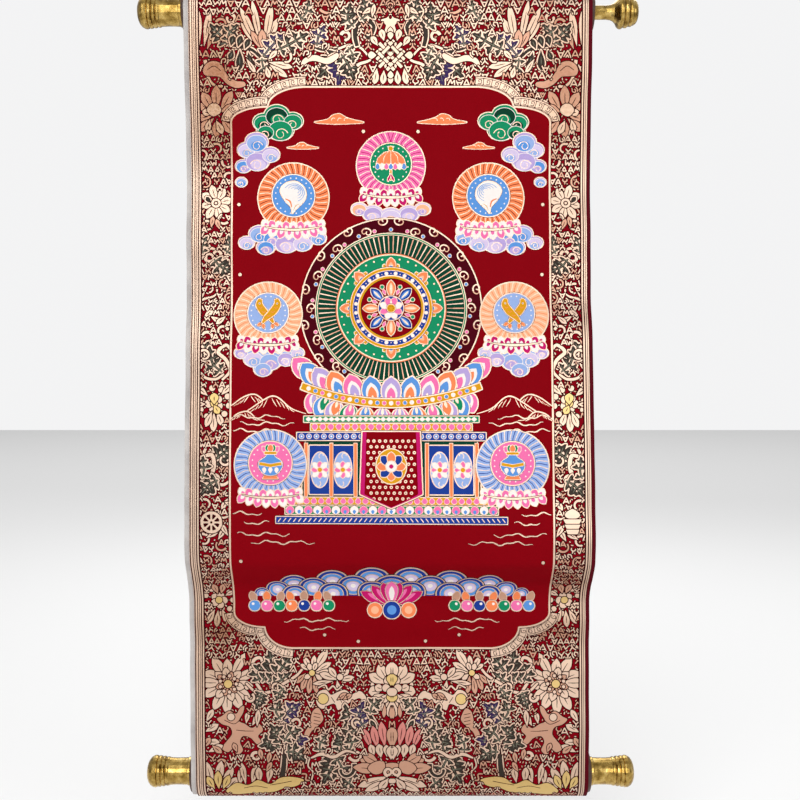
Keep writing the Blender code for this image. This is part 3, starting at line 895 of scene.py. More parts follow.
def wheel(chart, at, size, rim="gold", gap="contour"):
    chart.ink([disc(at, size, steps=32)], STYLES[rim])
    chart.ink([disc(at, size * 0.76, steps=28)], ((0, gap),))
    for k in range(8):
        chart.ink([strip([at, at + 0.8 * size * heading(45 * k)], (size * 0.1, size * 0.2))], ((0, rim),))
    chart.ink([disc(at, size * 0.3, steps=14)], ((0, rim),))
    chart.ink([disc(at, size * 0.12, steps=8)], ((0, gap),))


def endless_knot(chart, at, size, thread="gold"):
    """A lattice of bands that pass over and under, closed by loops at its corners."""
    at = np.asarray(at, float)
    width, gap = size * 0.17, size * 0.42
    for corner in (45, 135, 225, 315):
        for way in (-45, 45):
            loop = at + gap * 1.22 * heading(corner) + gap * 0.72 * heading(corner + 2 * way)
            chart.ink([strip(disc(loop, width * 1.15, steps=12), (width * 0.8, width * 0.8))], STYLES[thread])
    for k in (-1, 0, 1):
        for way in (45, 135):
            middle = at + gap * k * heading(way + 90)
            reach = size * (0.98 - 0.2 * abs(k)) * heading(way)
            chart.ink([strip([middle - reach, middle + reach], (width, width))], STYLES[thread])
    for a in (-1, 0, 1):
        for b in (-1, 0, 1):
            if (a + b) % 2 == 0:
                crossing = at + gap * a * heading(135) + gap * b * heading(225)
                over = width * 1.2 * heading(45)
                chart.ink([strip([crossing - over, crossing + over], (width, width))], STYLES[thread])
    for turn in (0, 90, 180, 270):
        chart.ink([petal(at + 0.85 * size * heading(turn), turn, size * 0.5, size * 0.42)], STYLES[thread])


def draw_motif(chart, line):
    head, _, tail = line.partition("|")
    kind, thread, *sizes = head.replace(",", "").split()
    sizes = [float(v) for v in sizes]
    points = np.array(tail.split(), float).reshape(-1, 2)
    at, style = points[0], STYLES[thread]
    if kind == "petal":
        for angle, length, width in zip(sizes[::3], sizes[1::3], sizes[2::3]):
            chart.ink([petal(at, angle, length, width, 0.62, 0.85)], style)
            if width > 3.6 and length > 8:
                slit = [at + share * length * heading(angle) for share in (0.30, 0.52, 0.76)]
                chart.ink([strip(slit, (0.3, 0.8, 0.3))], ((0, "fern"),) if thread in ("leafy", "dusk") else STYLES["dark"], claims=False)
    elif kind == "stem":
        chart.ink([strip(smooth(points), sizes)], style)
    elif kind == "blob":
        chart.ink([smooth(points, closed=True)], style)
    elif kind == "leaf":
        shapes, veins = acanthus(points, *sizes)
        chart.ink(shapes, style)
        chart.ink(veins, ((0, "fern"),), claims=False)
    elif kind == "curl":
        chart.ink(tendril(at, *sizes), style)
    elif kind == "disc":
        chart.ink([disc(at, sizes[0])], style)
    elif kind == "eye":
        chart.ink([disc(at, sizes[0] * 1.4)], STYLES["dark"])
        chart.ink([disc(at, sizes[0] * 0.9)], ((0, "ground"),))
    elif kind == "mark":
        chart.ink([strip(smooth(points), (MARK_WIDTH, MARK_WIDTH))], style, claims=False)
    elif kind == "knot":
        endless_knot(chart, at, sizes[0])
    elif kind == "beaded":
        beaded_flower(chart, at, *sizes, thread)


def drawn(chart, table):
    lines = table.replace("\n    ", "  ").strip().splitlines()
    for line in lines:
        draw_motif(chart, line)
    return len(lines)


half_chart = Chart(-HALF_WIDTH, FIRST_ROW, 6.0, LAST_ROW)
print("motifs:", sum(drawn(half_chart, table) for table in (TOP_MOTIFS, SIDE_MOTIFS, FOOT_MOTIFS)))

# %% [markdown]
# What the motifs leave free is filled with tiny line figures: triangles inside triangles,
# tents, bolts, hooks and forks, in staggered rows, then short stitches in the last gaps.

# %% Small figures of the ground
FIGURES = (
    (((-2.5, 2.5), (0, -2.7), (2.5, 2.5)), ((-1.5, 0.9), (1.5, 0.9))),
    (((-2.6, 2.4), (0, -2.6), (2.6, 2.4)), ((-1.1, 2.5), (0, 0.5), (1.1, 2.5))),
    (((-2.4, -1.8), (-0.8, 1.2), (0.8, -1.2), (2.4, 1.8)), ((-2.2, 1.4), (-1.2, 2.6)), ((1.4, -2.6), (2.4, -1.4))),
    (((0, 2.6), (0, 0.4), (-2.0, -0.8), (-1.6, -2.4)), ((0, 0.4), (2.0, -0.8), (1.6, -2.4)), ((-1.6, 1.4), (-2.4, 2.4))),
    (((-2.4, 1.8), (-1.9, -1.6), (0.6, -2.2), (1.1, -0.2), (-0.4, 0.7)), ((0.8, 2.4), (2.4, 0.6), (2.4, -1.8))),
    (((-2.5, 2.4), (-1.4, -2.2), (0, 0.8), (1.4, -2.2), (2.5, 2.4)),),
    (((-2.4, -2.2), (0, 0.2), (2.4, -2.2)), ((0, 0.2), (0, 2.6)), ((-2.0, 1.0), (-1.0, 2.4)), ((2.0, 1.0), (1.0, 2.4))))


def staggered(box, pitch):
    left, top, right, bottom = box
    for row, y in enumerate(np.arange(top, bottom, pitch[1])):
        for x in np.arange(left + (row % 2) * pitch[0] / 2, right, pitch[0]):
            yield x, y


def ground_figures(chart, box, seed, size=1.25, pitch=(6.3, 6.2), need=1.6, pink=0.35):
    draw, made = random.Random(seed), 0
    for x, y in staggered(box, pitch):
        at = np.array([x + draw.uniform(-0.5, 0.5), y + draw.uniform(-0.5, 0.5)])
        pick, tone, turn, flip = draw.random(), draw.random(), draw.uniform(-14, 14), draw.random()
        if chart.free(*at) < need * size:
            continue
        figure = FIGURES[0] if pick < 0.38 else FIGURES[1 + int((pick - 0.38) / 0.62 * 5.999)]
        turn = 0 if pick < 0.38 else turn
        along, down = heading(turn + (180 if flip < 0.35 else 0)), heading(turn + (270 if flip < 0.35 else 90))
        shapes = []
        for line in figure:
            placed = [at + size * (px * along + py * down) for px, py in line]
            shapes += [strip([a, b], (LINE_WIDTH, LINE_WIDTH)) for a, b in zip(placed, placed[1:])]
        chart.ink(shapes, ((0.7, "contour"), (0, "tan" if tone < pink else "gold")))
        made += 1
    return made


def short_stitches(chart, box, seed, pitch=2.8, need=1.25):
    draw, made = random.Random(seed), 0
    for x, y in staggered(box, (pitch, pitch)):
        at = np.array([x + draw.uniform(-0.8, 0.8), y + draw.uniform(-0.8, 0.8)])
        way, tone = heading(draw.uniform(0, 180)) * draw.uniform(0.7, 1.3), draw.random()
        if chart.free(*at) < need:
            continue
        chart.ink([strip([at - way, at + way], (0.9, 0.9))], ((0.5, "contour"), (0, "tan" if tone < 0.4 else "gold")))
        made += 1
    return made


PANEL_TOP, PANEL_FOOT, PANEL_HALF = 70.0, 576.0, 140.0
BORDER_EDGE = 167.0
TOP_BOX = (-BORDER_EDGE, FIRST_ROW, 4, PANEL_TOP + 2)
SIDE_BOX = (-BORDER_EDGE, PANEL_TOP + 2, -PANEL_HALF - 1, PANEL_FOOT)
FOOT_BOX = (-BORDER_EDGE, PANEL_FOOT, 4, LAST_ROW)
CORNER_BOXES = ((-141, 72, -74, 100), (-141, 543, -88, 577))
figures = ground_figures(half_chart, TOP_BOX, 3) + ground_figures(half_chart, FOOT_BOX, 5)
figures += ground_figures(half_chart, SIDE_BOX, 4, size=1.02, pitch=(5.4, 5.3), need=1.7)
figures += sum(ground_figures(half_chart, box, 9, size=0.95, pitch=(5.0, 5.0), need=1.7) for box in CORNER_BOXES)
stitches = sum(short_stitches(half_chart, box, 6) for box in (TOP_BOX, SIDE_BOX, FOOT_BOX, *CORNER_BOXES))
print("ground figures:", figures, "short stitches:", stitches)

# %% [markdown]
# The panel has two-lobed corners with a band of little frets outside each. Its edge is a
# pale line. Down both sides of the cloth run gold bands with thin dark lines in them.

# %% Panel outline, frets and edge bands
def quarter(centre, radii, start, steps=12):
    """A quarter of an oval, from an angle of start degrees and 90 on."""
    turns = np.radians(np.linspace(start, start + 90, steps))
    return np.stack([centre[0] + radii[0] * np.cos(turns), centre[1] + radii[1] * np.sin(turns)], axis=1)


TOP_LOBES = (quarter((-74, 87), (33.6, 17), 270, 14)[::-1] * (1, 1), quarter((-107.6, 100), (32.4, 13), 270, 14)[::-1])
TOP_LOBES = tuple(np.stack([2 * c - lobe[:, 0], lobe[:, 1]], axis=1) for c, lobe in zip((-74, -107.6), TOP_LOBES))
FOOT_LOBES = (quarter((-113, 543), (27, 13.4), 90)[::-1], quarter((-88, 556.4), (25, 19.6), 90)[::-1])
left_side = np.concatenate([[(6, PANEL_TOP)], TOP_LOBES[0][::-1], TOP_LOBES[1][::-1], *FOOT_LOBES, [(6, PANEL_FOOT)]])


def frets(chart, lobe):
    """A band of boxes along a lobe, each with a hooked stroke inside."""
    out = lengths(lobe)
    ahead = np.gradient(lobe, axis=0)
    ahead /= np.linalg.norm(ahead, axis=1)[:, None]
    away = np.stack([-ahead[:, 1], ahead[:, 0]], axis=1)
    if ((lobe + away - (0, 323)) ** 2).sum() < ((lobe - away - (0, 323)) ** 2).sum():
        away = -away
    chart.ink([strip(lobe + 4.9 * away, (8.0, 8.0))], ((0.5, "contour"), (0, "gold")))
    boxes = max(int(out[-1] / 6.2), 3)
    for near in (2.1, 7.7):
        chart.ink([strip(lobe + near * away, (0.5, 0.5))], STYLES["dark"])
    for k in range(boxes + 1):
        at = np.array([np.interp(k / boxes * out[-1], out, column) for column in lobe.T])
        side = np.array([np.interp(k / boxes * out[-1], out, column) for column in away.T])
        along = np.array([side[1], -side[0]])
        chart.ink([strip([at + 1.6 * side, at + 8.4 * side], (0.5, 0.5))], STYLES["dark"])
        if k == boxes:
            break
        middle = at + 4.9 * side + along * out[-1] / boxes / 2 * np.sign(np.dot(along, lobe[-1] - lobe[0]))
        hook = [middle - 1.7 * along - 1.9 * side, middle + 1.6 * along - 1.9 * side, middle + 1.6 * along + 1.6 * side,
                middle - 0.9 * along + 1.6 * side, middle - 0.9 * along - 0.3 * side, middle + 0.4 * along - 0.3 * side]
        chart.ink([strip([a, b], (0.55, 0.55)) for a, b in zip(hook, hook[1:])], STYLES["dark"])


for lobe in (*TOP_LOBES, *FOOT_LOBES):
    frets(half_chart, lobe)
half_chart.ink([left_side], ((1.5, "contour"), (1.0, "gold"), (-0.5, "satin")))
for edge, width, thread in (
        (-171.5, 9.0, "gold"), (-175.3, 1.0, "contour"), (-172.9, 0.9, "contour"), (-171.2, 0.6, "contour"),
        (-169.5, 0.9, "contour"), (-167.1, 1.1, "contour")):
    half_chart.ink([strip([(edge, FIRST_ROW - 5), (edge, LAST_ROW + 5)], (width, width))], ((0, thread),))
print("panel corners have", len(left_side), "points")

# %% [markdown]
# The picture in the panel is a design made for this part, in the colours and scale of such
# panels: a great wheel with a green nimbus on a lotus throne, seven round medallions with
# emblems of good luck about it, banks of cloud above, and hills, waves and jewels below. The
# left half is drawn and mirrored, as a weaver's card is.

# %% Elements of the picture: clouds and medallions
def gilt(thread, grown=0.7):
    """A colour inside a thin gold line."""
    return ((grown, "gold"), (0, thread))


def stroke(chart, path, width, thread="gold", ends=0.5, **more):
    """A line that swells in its middle."""
    chart.ink([strip(smooth(path), (width * ends, width, width * ends))], ((0, thread),), **more)


def bank(chart, puffs, tones, seed):
    """A bank of cloud: round puffs in one gold outline, shaded from puff to puff, with curls."""
    draw = random.Random(seed)
    whole = [disc(p[:2], p[2], 0.8, 22) for p in puffs]
    chart.ink(whole, ((1.1, "contour"), (0.8, "gold"), (0, tones[0])))
    for k, (x, y, r) in enumerate(puffs):
        chart.ink([disc((x, y + r * 0.12), r * 0.86, 0.8, 22)], ((0.5, "white"), (0, tones[(k + 1) % len(tones)])), claims=False)
        chart.ink([disc((x + r * 0.1, y + r * 0.34), r * 0.6, 0.72, 20)], ((0, tones[(k + 2) % len(tones)]),), claims=False)
        side = draw.choice((-1, 1))
        start = np.array((x - side * r * 0.55, y + r * 0.3))
        chart.ink(tendril(start, -90 + side * 25, r * 2.3, side * 85 / r, side * 260 / r, 0.75, 18), ((0, "gold"),), claims=False)


def streak(chart, at, size, thread="orange"):
    """A long flat cloud, low at both ends."""
    x, y = at
    shape = [(x - 1.5 * size, y), (x - 0.7 * size, y - 0.16 * size), (x - 0.35 * size, y - 0.42 * size),
             (x + 0.1 * size, y - 0.5 * size), (x + 0.45 * size, y - 0.3 * size), (x + 0.95 * size, y - 0.14 * size),
             (x + 1.6 * size, y + 0.02 * size), (x + 0.5 * size, y + 0.1 * size), (x - 0.6 * size, y + 0.1 * size)]
    chart.ink([smooth(shape, closed=True)], gilt(thread, 0.6))
    for k in (-0.3, 0.1, 0.5):
        arc = disc((x + k * size, y - 0.12 * size), size * 0.14, steps=9)[4:]
        chart.ink([strip(arc, (0.6, 0.6))], ((0, "gold"),), claims=False)


def medallion(chart, at, size, glow, ray, nimbus, seat="rose"):
    """A round glow with fine waving rays, a disc for the emblem and a lotus seat."""
    at = np.asarray(at, float)
    chart.ink([disc(at, size, 0.98, 48)], ((1.3, "ink"), (1.0, "gold"), (0, glow)))
    for a in np.arange(3, 360, 6):
        wave = [at + size * r * heading(a + 2.2 * math.sin(r * 11)) for r in (0.5, 0.62, 0.74, 0.86, 0.98)]
        chart.ink([strip(wave, (0.4, 0.75))], ((0, ray if a % 12 == 3 else "gold"),), claims=False)
    chart.ink([disc(at - (0, size * 0.06), size * 0.60, steps=36)], ((1.2, "ink"), (0.9, "gold"), (0, nimbus)))
    ring = [at - (0, size * 0.06) + size * 0.51 * heading(a) for a in np.arange(9, 360, 18)]
    chart.ink([disc(p, 0.75, steps=8) for p in ring], ((0, "white"),), claims=False)
    lotus_seat(chart, at + (0, size * 0.86), size * 0.86, seat)


def lotus_seat(chart, at, half, thread):
    """A low boat of petals seen from the side: one row stands up, one hangs over the rim."""
    for row, (count, tilt, long) in enumerate(((9, -90, 0.30), (8, 90, 0.34))):
        for k in sorted(range(count), key=lambda k: -abs(k - (count - 1) / 2)):
            lean = (k - (count - 1) / 2) / ((count - 1) / 2)
            base = at + (half * 0.84 * lean, -half * 0.10 * abs(lean) ** 2 + half * (0.05 if row else 0.1))
            angle = tilt + (32 if row == 0 else -38) * lean
            tone = (thread, "white") if (k + row) % 2 else ("white", thread)
            chart.ink([petal(base, angle, half * long, half * 0.25, 0.5, 0.7)], ((0.7, "gold"), (0, tone[0])))
            chart.ink([petal(base, angle, half * long * 0.6, half * 0.12, 0.5, 0.7)], ((0, tone[1]),))
    rim = [at + (half * x, half * (0.07 - 0.12 * x * x)) for x in np.linspace(-0.92, 0.92, 12)]
    chart.ink([strip(rim, (0.6, 2.4, 0.6))], ((0.4, "ink"), (0, "gold")))


# %% Elements of the picture: emblems
def emblem(chart, kind, at, size):
    at = np.asarray(at, float)

    def place(points):
        return at + size * np.asarray(points, float)

    if kind == "parasol":
        chart.ink([strip(place([(0, -0.2), (0, 1.0)]), (1.3, 1.3))], gilt("ochre", 0.5))
        chart.ink([petal(place((0, 0.62)), 90 + side * 24, size * 0.5, size * 0.14) for side in (-1, 1)], gilt("magenta", 0.4))
        dome = [(-0.9, 0.02), (-0.78, -0.34), (-0.4, -0.66), (0, -0.78), (0.4, -0.66), (0.78, -0.34), (0.9, 0.02)]
        chart.ink([place(dome)], ((0.9, "ink"), (0.6, "gold"), (0, "orange")))
        for x in (-0.45, 0, 0.45):
            stroke(chart, place([(x * 0.3, -0.74), (x * 0.9, -0.4), (x, 0)]), 0.6)
        for k in range(-3, 4):
            tone = ("sky", "white", "rose")[k % 3]
            chart.ink([petal(place((k * 0.27, -0.04)), 90, size * 0.40, size * 0.27)], gilt(tone, 0.4))
        chart.ink([disc(place((0, -0.92)), size * 0.14, steps=12)], gilt("ochre", 0.5))
    elif kind == "shell":
        body = [(-0.78, -0.30), (-0.42, -0.74), (0.18, -0.82), (0.66, -0.42), (0.72, 0.12), (0.42, 0.56), (0.10, 0.86),
                (-0.06, 1.08), (-0.14, 0.70), (-0.52, 0.26)]
        chart.ink([smooth(place(body), closed=True)], ((1.0, "ink"), (0.7, "gold"), (0, "white")))
        for k in range(4):
            r = 0.62 - 0.15 * k
            arc = [(0.02 + 0.05 * k + r * math.cos(a), -0.16 - 0.04 * k + 0.86 * r * math.sin(a)) for a in np.linspace(-2.6, 1.2, 9)]
            stroke(chart, place(arc), 0.7, "sky")
        stroke(chart, place([(-0.5, 0.2), (-0.2, 0.36), (-0.1, 0.72)]), 1.5, "orange")
        stroke(chart, place([(0.36, 0.50), (0.14, 0.62), (0.0, 0.92)]), 0.6, "ochre")
    elif kind == "fishes":
        for side in (-1, 1):
            spine = [(side * 0.50, -0.86), (side * 0.56, -0.5), (side * 0.28, -0.05), (-side * 0.12, 0.34), (-side * 0.34, 0.66)]
            for way in (28, -30):
                tail = place((-side * 0.30, 0.60))
                chart.ink([petal(tail, 90 + side * 26 + way, size * 0.44, size * 0.2)], ((0.7, "ink"), (0.4, "gold"), (0, "orange")))
            widths = (size * 0.22, size * 0.42, size * 0.46, size * 0.30, size * 0.12)
            chart.ink([strip(smooth(place(spine)), widths)], ((0.9, "ink"), (0.6, "gold"), (0, "ochre")))
            chart.ink([disc(place((side * 0.545, -0.58)), 0.5, steps=10)], ((0.35, "white"), (0, "ink")))
            for share in (0.35, 0.5, 0.65, 0.8):
                i = int(share * 20)
                at_spine = smooth(place(spine))[i]
                stroke(chart, [at_spine + (-0.14 * size, -0.05 * size), at_spine + (0, 0.05 * size), at_spine + (0.14 * size, -0.05 * size)], 0.6, "orange")
    elif kind == "vase":
        for tone, x, y in (("rose", -0.30, -0.80), ("rose", 0.30, -0.80), ("green", -0.16, -1.0), ("green", 0.16, -1.0), ("orange", 0, -0.9)):
            chart.ink([petal(place((x * 0.4, -0.5)), math.degrees(math.atan2(y + 0.5, x * 0.8)), size * 0.56, size * 0.3)], gilt(tone, 0.5))
        body = [(-0.22, -0.55), (-0.26, -0.35), (-0.66, -0.05), (-0.66, 0.32), (-0.30, 0.70), (0.30, 0.70), (0.66, 0.32),
                (0.66, -0.05), (0.26, -0.35), (0.22, -0.55)]
        chart.ink([place([(-0.46, 0.96), (0.46, 0.96), (0.3, 0.66), (-0.3, 0.66)])], ((0.8, "ink"), (0.5, "gold"), (0, "orange")))
        chart.ink([smooth(place(body), closed=True)], ((0.9, "ink"), (0.6, "gold"), (0, "sky")))
        chart.ink([strip(place([(-0.64, 0.06), (0, 0.18), (0.64, 0.06)]), (size * 0.16,) * 2)], ((0.4, "gold"), (0, "ochre")))
        for x in (-0.36, 0, 0.36):
            chart.ink([petal(place((x, 0.62)), -90, size * 0.34, size * 0.22)], gilt("white", 0.3))
        chart.ink([strip(place([(-0.36, -0.56), (0.36, -0.56)]), (size * 0.14,) * 2)], gilt("ochre", 0.4))


# %% Elements of the picture: lotus, waves and hills
def petal_row(chart, centre, radii, count, span, size, tones, tilt=-90, spread=0.55):
    """Petals along an oval arc, each of three colours inside one another."""
    order = sorted(range(count), key=lambda k: -abs(k - (count - 1) / 2))
    for k in order:
        turn = (k / (count - 1) - 0.5) * span
        base = np.asarray(centre) + np.array(radii) * (math.sin(math.radians(turn)), math.cos(math.radians(turn)))
        up = tilt + (turn * spread if tilt < 0 else -turn * spread)
        outer, inner = tones[k % len(tones)], tones[(k + 2) % len(tones)]
        chart.ink([petal(base, up, size[0], size[1], 0.5, 0.62)], ((1.3, "ink"), (1.0, "gold"), (0, outer)))
        chart.ink([petal(base, up, size[0] * 0.78, size[1] * 0.66, 0.5, 0.66)], ((0, "white"),))
        chart.ink([petal(base, up, size[0] * 0.64, size[1] * 0.46, 0.5, 0.7)], ((0, inner),))
        chart.ink([petal(base, up, size[0] * 0.34, size[1] * 0.16, 0.5, 0.7)], ((0, "gold"),))


RINGS = ((1.0, "ink"), (0.95, "gold"), (0.86, "blue"), (0.68, "gold"), (0.62, "sky"), (0.42, "gold"), (0.36, "mist"), (0.16, "white"))


def wave(chart, at, radius, foot):
    """A heap of water: rings inside rings, cut off level at the foot."""
    x, y = at
    above = np.array([(x - 60, y - 60), (x + 60, y - 60), (x + 60, foot), (x - 60, foot)])
    for share, thread in RINGS:
        chart.ink([disc(at, radius * share, steps=36)], ((0, thread),), within=above)


def hill(chart, at, half, high, tone, seed):
    """A round hill in fine gold lines, with a slope of short strokes on each side."""
    draw = random.Random(seed)
    x, y = at
    line = [(x + half * u, y - high * math.exp(-3.2 * u * u) + 0.5 * math.sin(9 * u + seed)) for u in np.linspace(-1, 1, 25)]
    chart.ink([np.array(line + [(x + half, y), (x - half, y)])], ((0, tone),), within=left_side)
    chart.ink([strip(line, (0.5, 1.1, 0.5))], ((0.2, "contour"), (0, "gold")), within=left_side)
    for u in np.linspace(-0.5, 0.5, 9):
        top = y - high * math.exp(-3.2 * u * u)
        path = [(x + half * (u + 0.07 * k * (1 if u >= 0 else -1)) + draw.uniform(-0.6, 0.6), top + 1.6 + (y - top) * 0.24 * k) for k in range(3)]
        stroke(chart, path, 0.75, "gold" if draw.random() < 0.7 else "tan", within=left_side)


# %% Drawing the picture: the sky
WHEEL_AT = np.array((0.0, 264.0))
ink = half_chart.ink
for at, size in (((-46, 100), 14), ((-78, 122), 9), ((-30, 214), 8)):
    streak(half_chart, at, size)
PASTELS = ("lilac", "mist", "haze", "sky")
bank(half_chart, ((-112, 100, 9), (-100, 94, 11), (-86, 99, 9), (-97, 106, 12), (-110, 108, 8)), ("green", "green", "foliage", "green"), 1)
bank(half_chart, ((-127, 124, 8), (-118, 117, 10), (-130, 138, 7), (-118, 133, 11), (-106, 128, 8), (-132, 152, 5)), PASTELS, 2)
bank(half_chart, ((-127, 206, 7), (-116, 198, 9), (-104, 202, 9), (-92, 206, 11), (-78, 206, 9), (-64, 202, 7), (-110, 210, 8)), PASTELS, 3)
bank(half_chart, ((-28, 176, 7), (-16, 180, 9), (0, 183, 10)), ("mist", "peach", "lilac"), 4)
bank(half_chart, ((-131, 304, 6), (-120, 309, 9), (-106, 311, 10), (-92, 309, 8), (-82, 304, 6), (-112, 318, 8)), ("haze", "lilac", "mist"), 5)

# the great glow: a scrolled ring, then rays, then the nimbus
ink([disc(WHEEL_AT, 79, steps=80)], ((1.5, "ink"), (1.1, "gold"), (0, "maroon")))
for k, turn in enumerate(np.arange(0, 360, 12)):
    start = WHEEL_AT + 74 * heading(turn)
    ink(tendril(start, turn + 96, 15, 8 if k % 2 else -8, 34 if k % 2 else -34, 1.3), ((0, "gold"),))
    ink(tendril(start, turn - 84, 9, -12 if k % 2 else 12, -40 if k % 2 else 40, 1.1), ((0, "tan"),))
    ink([disc(WHEEL_AT + 69.5 * heading(turn + 6), 1.5, steps=8)], ((0.4, "gold"), (0, "rose" if k % 2 else "sky")))
ink([disc(WHEEL_AT, 64.5, steps=72)], ((2.6, "ink"), (2.3, "gold"), (1.6, "green"), (0.5, "gold"), (0, "foliage")))
for turn in np.arange(0, 360, 4):
    ink([strip([WHEEL_AT + 45 * heading(turn), WHEEL_AT + 64 * heading(turn)], (0.5, 1.0))], ((0, "tan" if turn % 8 else "gold"),))
ink([disc(WHEEL_AT, 47, steps=64)], ((2.0, "ink"), (1.6, "orange"), (0.8, "gold"), (0, "green")))
for turn in np.arange(0, 360, 10):
    ink([disc(WHEEL_AT + 43.8 * heading(turn), 0.9, steps=8)], ((0, "gold"),))
for k in range(8):
    tip = WHEEL_AT + 33 * heading(45 * k)
    for side in (-1, 1):
        ink([petal(tip, 45 * k + side * 52, 9, 5)], ((0.6, "gold"), (0, "ochre")))
        ink(tendril(tip + 3 * heading(45 * k), 45 * k + side * 70, 13, side * 6, side * 34, 0.8), ((0, "gold"),))
    ink([petal(tip, 45 * k, 12, 8.4, 0.45, 0.7)], ((0.9, "ink"), (0.6, "gold"), (0, "orange")))
    ink([petal(tip, 45 * k, 8, 4.6, 0.45, 0.7)], ((0, "peach"),))
    ink([disc(tip + 3.4 * heading(45 * k), 1.7, steps=12)], gilt("sky", 0.4))

# %% Drawing the picture: the wheel
for radius, layers in (
        (36, ((1.0, "ink"), (0.6, "gold"), (0, "ochre"))), (33.4, ((0.4, "gold"), (0, "blue"))),
        (28.6, ((0.9, "gold"), (0, "ochre"))), (26.2, ((0.5, "ink"), (0, "satin")))):
    ink([disc(WHEEL_AT, radius, steps=64)], layers)
for turn in np.arange(7.5, 360, 15):
    ink([disc(WHEEL_AT + 31.1 * heading(turn), 1.35, steps=10)], ((0.4, "gold"), (0, "white")))
for turn in np.arange(0, 360, 15):
    ink([disc(WHEEL_AT + 31.1 * heading(turn), 0.55, steps=8)], ((0, "gold"),))
for k in range(8):
    turn = 45 * k
    ink([petal(WHEEL_AT + 8 * heading(turn), turn, 17, 7.5, 0.6, 0.85, 12)], ((0.9, "ink"), (0.6, "gold"), (0, "blue" if k % 2 else "orange")))
    ink([petal(WHEEL_AT + 10 * heading(turn), turn, 13, 4.2, 0.6, 0.85, 10)], ((0, "sky" if k % 2 else "peach"),))
    ink([petal(WHEEL_AT + 12 * heading(turn), turn, 10, 1.8)], ((0, "gold"),))
    ink([disc(WHEEL_AT + 20.5 * heading(turn + 22.5), 1.7, steps=10)], ((0.5, "gold"), (0, "green")))
    ink([petal(WHEEL_AT + 13 * heading(turn + 22.5), turn + 22.5, 5, 2.6)], gilt("rose", 0.4))
ink([disc(WHEEL_AT, 10.8, steps=32)], ((1.1, "ink"), (0.8, "gold"), (0, "blue")))
for k in range(8):
    ink([petal(WHEEL_AT, 45 * k + 22.5, 10.4, 5.2, 0.62, 0.6)], ((0.5, "gold"), (0, "rose" if k % 2 else "white")))
ink([disc(WHEEL_AT, 3.6, steps=20)], ((0.9, "ink"), (0.6, "gold"), (0, "ochre")))
for k in range(6):
    ink([disc(WHEEL_AT + 1.9 * heading(60 * k), 0.5, steps=6)], ((0, "contour"),))

# %% Drawing the picture: the throne
TONES = ("rose", "sky", "lilac", "green", "orange")
petal_row(half_chart, (0, 318), (70, 32), 13, 150, (25, 17), ("rose", "sky", "lilac", "orange"), -90, 0.62)
petal_row(half_chart, (0, 330), (66, 22), 12, 140, (21, 16), TONES, 90, 0.4)
rim = [(x, 348 - 15 * (x / 78) ** 2) for x in np.linspace(-78, 78, 30)]
ink([strip(rim, (5.5, 7.0, 5.5))], ((1.3, "ink"), (1.0, "gold"), (0, "ochre")))
for x in np.arange(-72, 3, 6.0):
    ink([disc((x, 348 - 15 * (x / 78) ** 2), 1.7, steps=10)], ((0.4, "gold"), (0, ("white", "rose", "sky")[int(-x / 6) % 3])))

def seat(shapes, layers, **more):
    """Inks a part of the throne, set up against the lotus."""
    if "within" in more:
        more["within"] = more["within"] - (0, 13)
    ink([np.asarray(shape, float) - (0, 13) for shape in shapes], layers, **more)


STEPS = ((76, 375, 5.0, "green"), (70, 382, 6.0, "ochre"), (82, 390, 6.4, "blue"), (84, 446, 6.0, "ochre"), (92, 454, 7.0, "green"), (100, 462.5, 5.4, "blue"))
seat([np.array([(-74, 392), (74, 392), (78, 444), (-78, 444)])], ((1.4, "ink"), (1.0, "gold"), (0, "foliage")))
for half, y, high, thread in STEPS:
    seat([strip([(-half, y), (half, y)], (high, high))], ((1.2, "ink"), (0.8, "gold"), (0, thread)))
for x in np.arange(-72, 4, 5.0):
    seat([np.array([(x - 2.2, 375), (x, 373), (x + 2.2, 375), (x, 377)])], ((0.3, "gold"), (0, "white")))
for x in np.arange(-66.5, 4, 7.0):
    seat([petal((x, 385), -90, 6.0, 5.2)], ((0.4, "gold"), (0, "rose")))
for x in np.arange(-78, 4, 6.5):
    seat([disc((x, 390), 2.0, steps=12)], ((0.5, "gold"), (0, "sky")))
    seat([disc((x, 390), 0.8, steps=8)], ((0, "white"),))
for x in np.arange(-80, 4, 6.4):
    seat([petal((x, 443), 90, 5.6, 4.8)], ((0.4, "gold"), (0, "rose")))
for k, x in enumerate(np.arange(-88, 4, 8.0)):
    seat([petal((x, 457.5), -90, 7.4, 7.0, 0.45, 0.6)], ((0.7, "ink"), (0.4, "gold"), (0, "white" if k % 2 else "rose")))
    seat([petal((x, 457.5), -90, 4.0, 3.0)], ((0, "sky"),))
for x in np.arange(-97, 4, 4.4):
    seat([strip([(x - 1.3, 464.2), (x + 1.3, 460.8)], (0.8, 0.8))], ((0, "gold"),))
for x in (-62, -42):
    seat([np.array([(x - 9, 398), (x + 9, 398), (x + 9, 440), (x - 9, 440)])], ((0.9, "gold"), (0, "blue")))
    seat([disc((x, 419), 7.6, 2.0, 28)], ((0.8, "gold"), (0, "haze")))
    for k in range(8):
        seat([petal((x, 419), 45 * k, 8.6 if k % 2 else 7.4, 4.2)], ((0.5, "gold"), (0, "white" if k % 2 else "rose")))
    seat([disc((x, 419), 2.0, steps=12)], gilt("ochre", 0.5))
    for side in (-1, 1):
        seat(tendril(np.array((x, 419.0 + side * 10)), side * 90 - 40, 9, 14, 40, 0.8), ((0, "gold"),))
for x in (-74, -52, -31):
    seat([strip([(x, 396), (x, 442)], (2.6, 2.6))], ((0.8, "ink"), (0.5, "gold"), (0, "orange")))
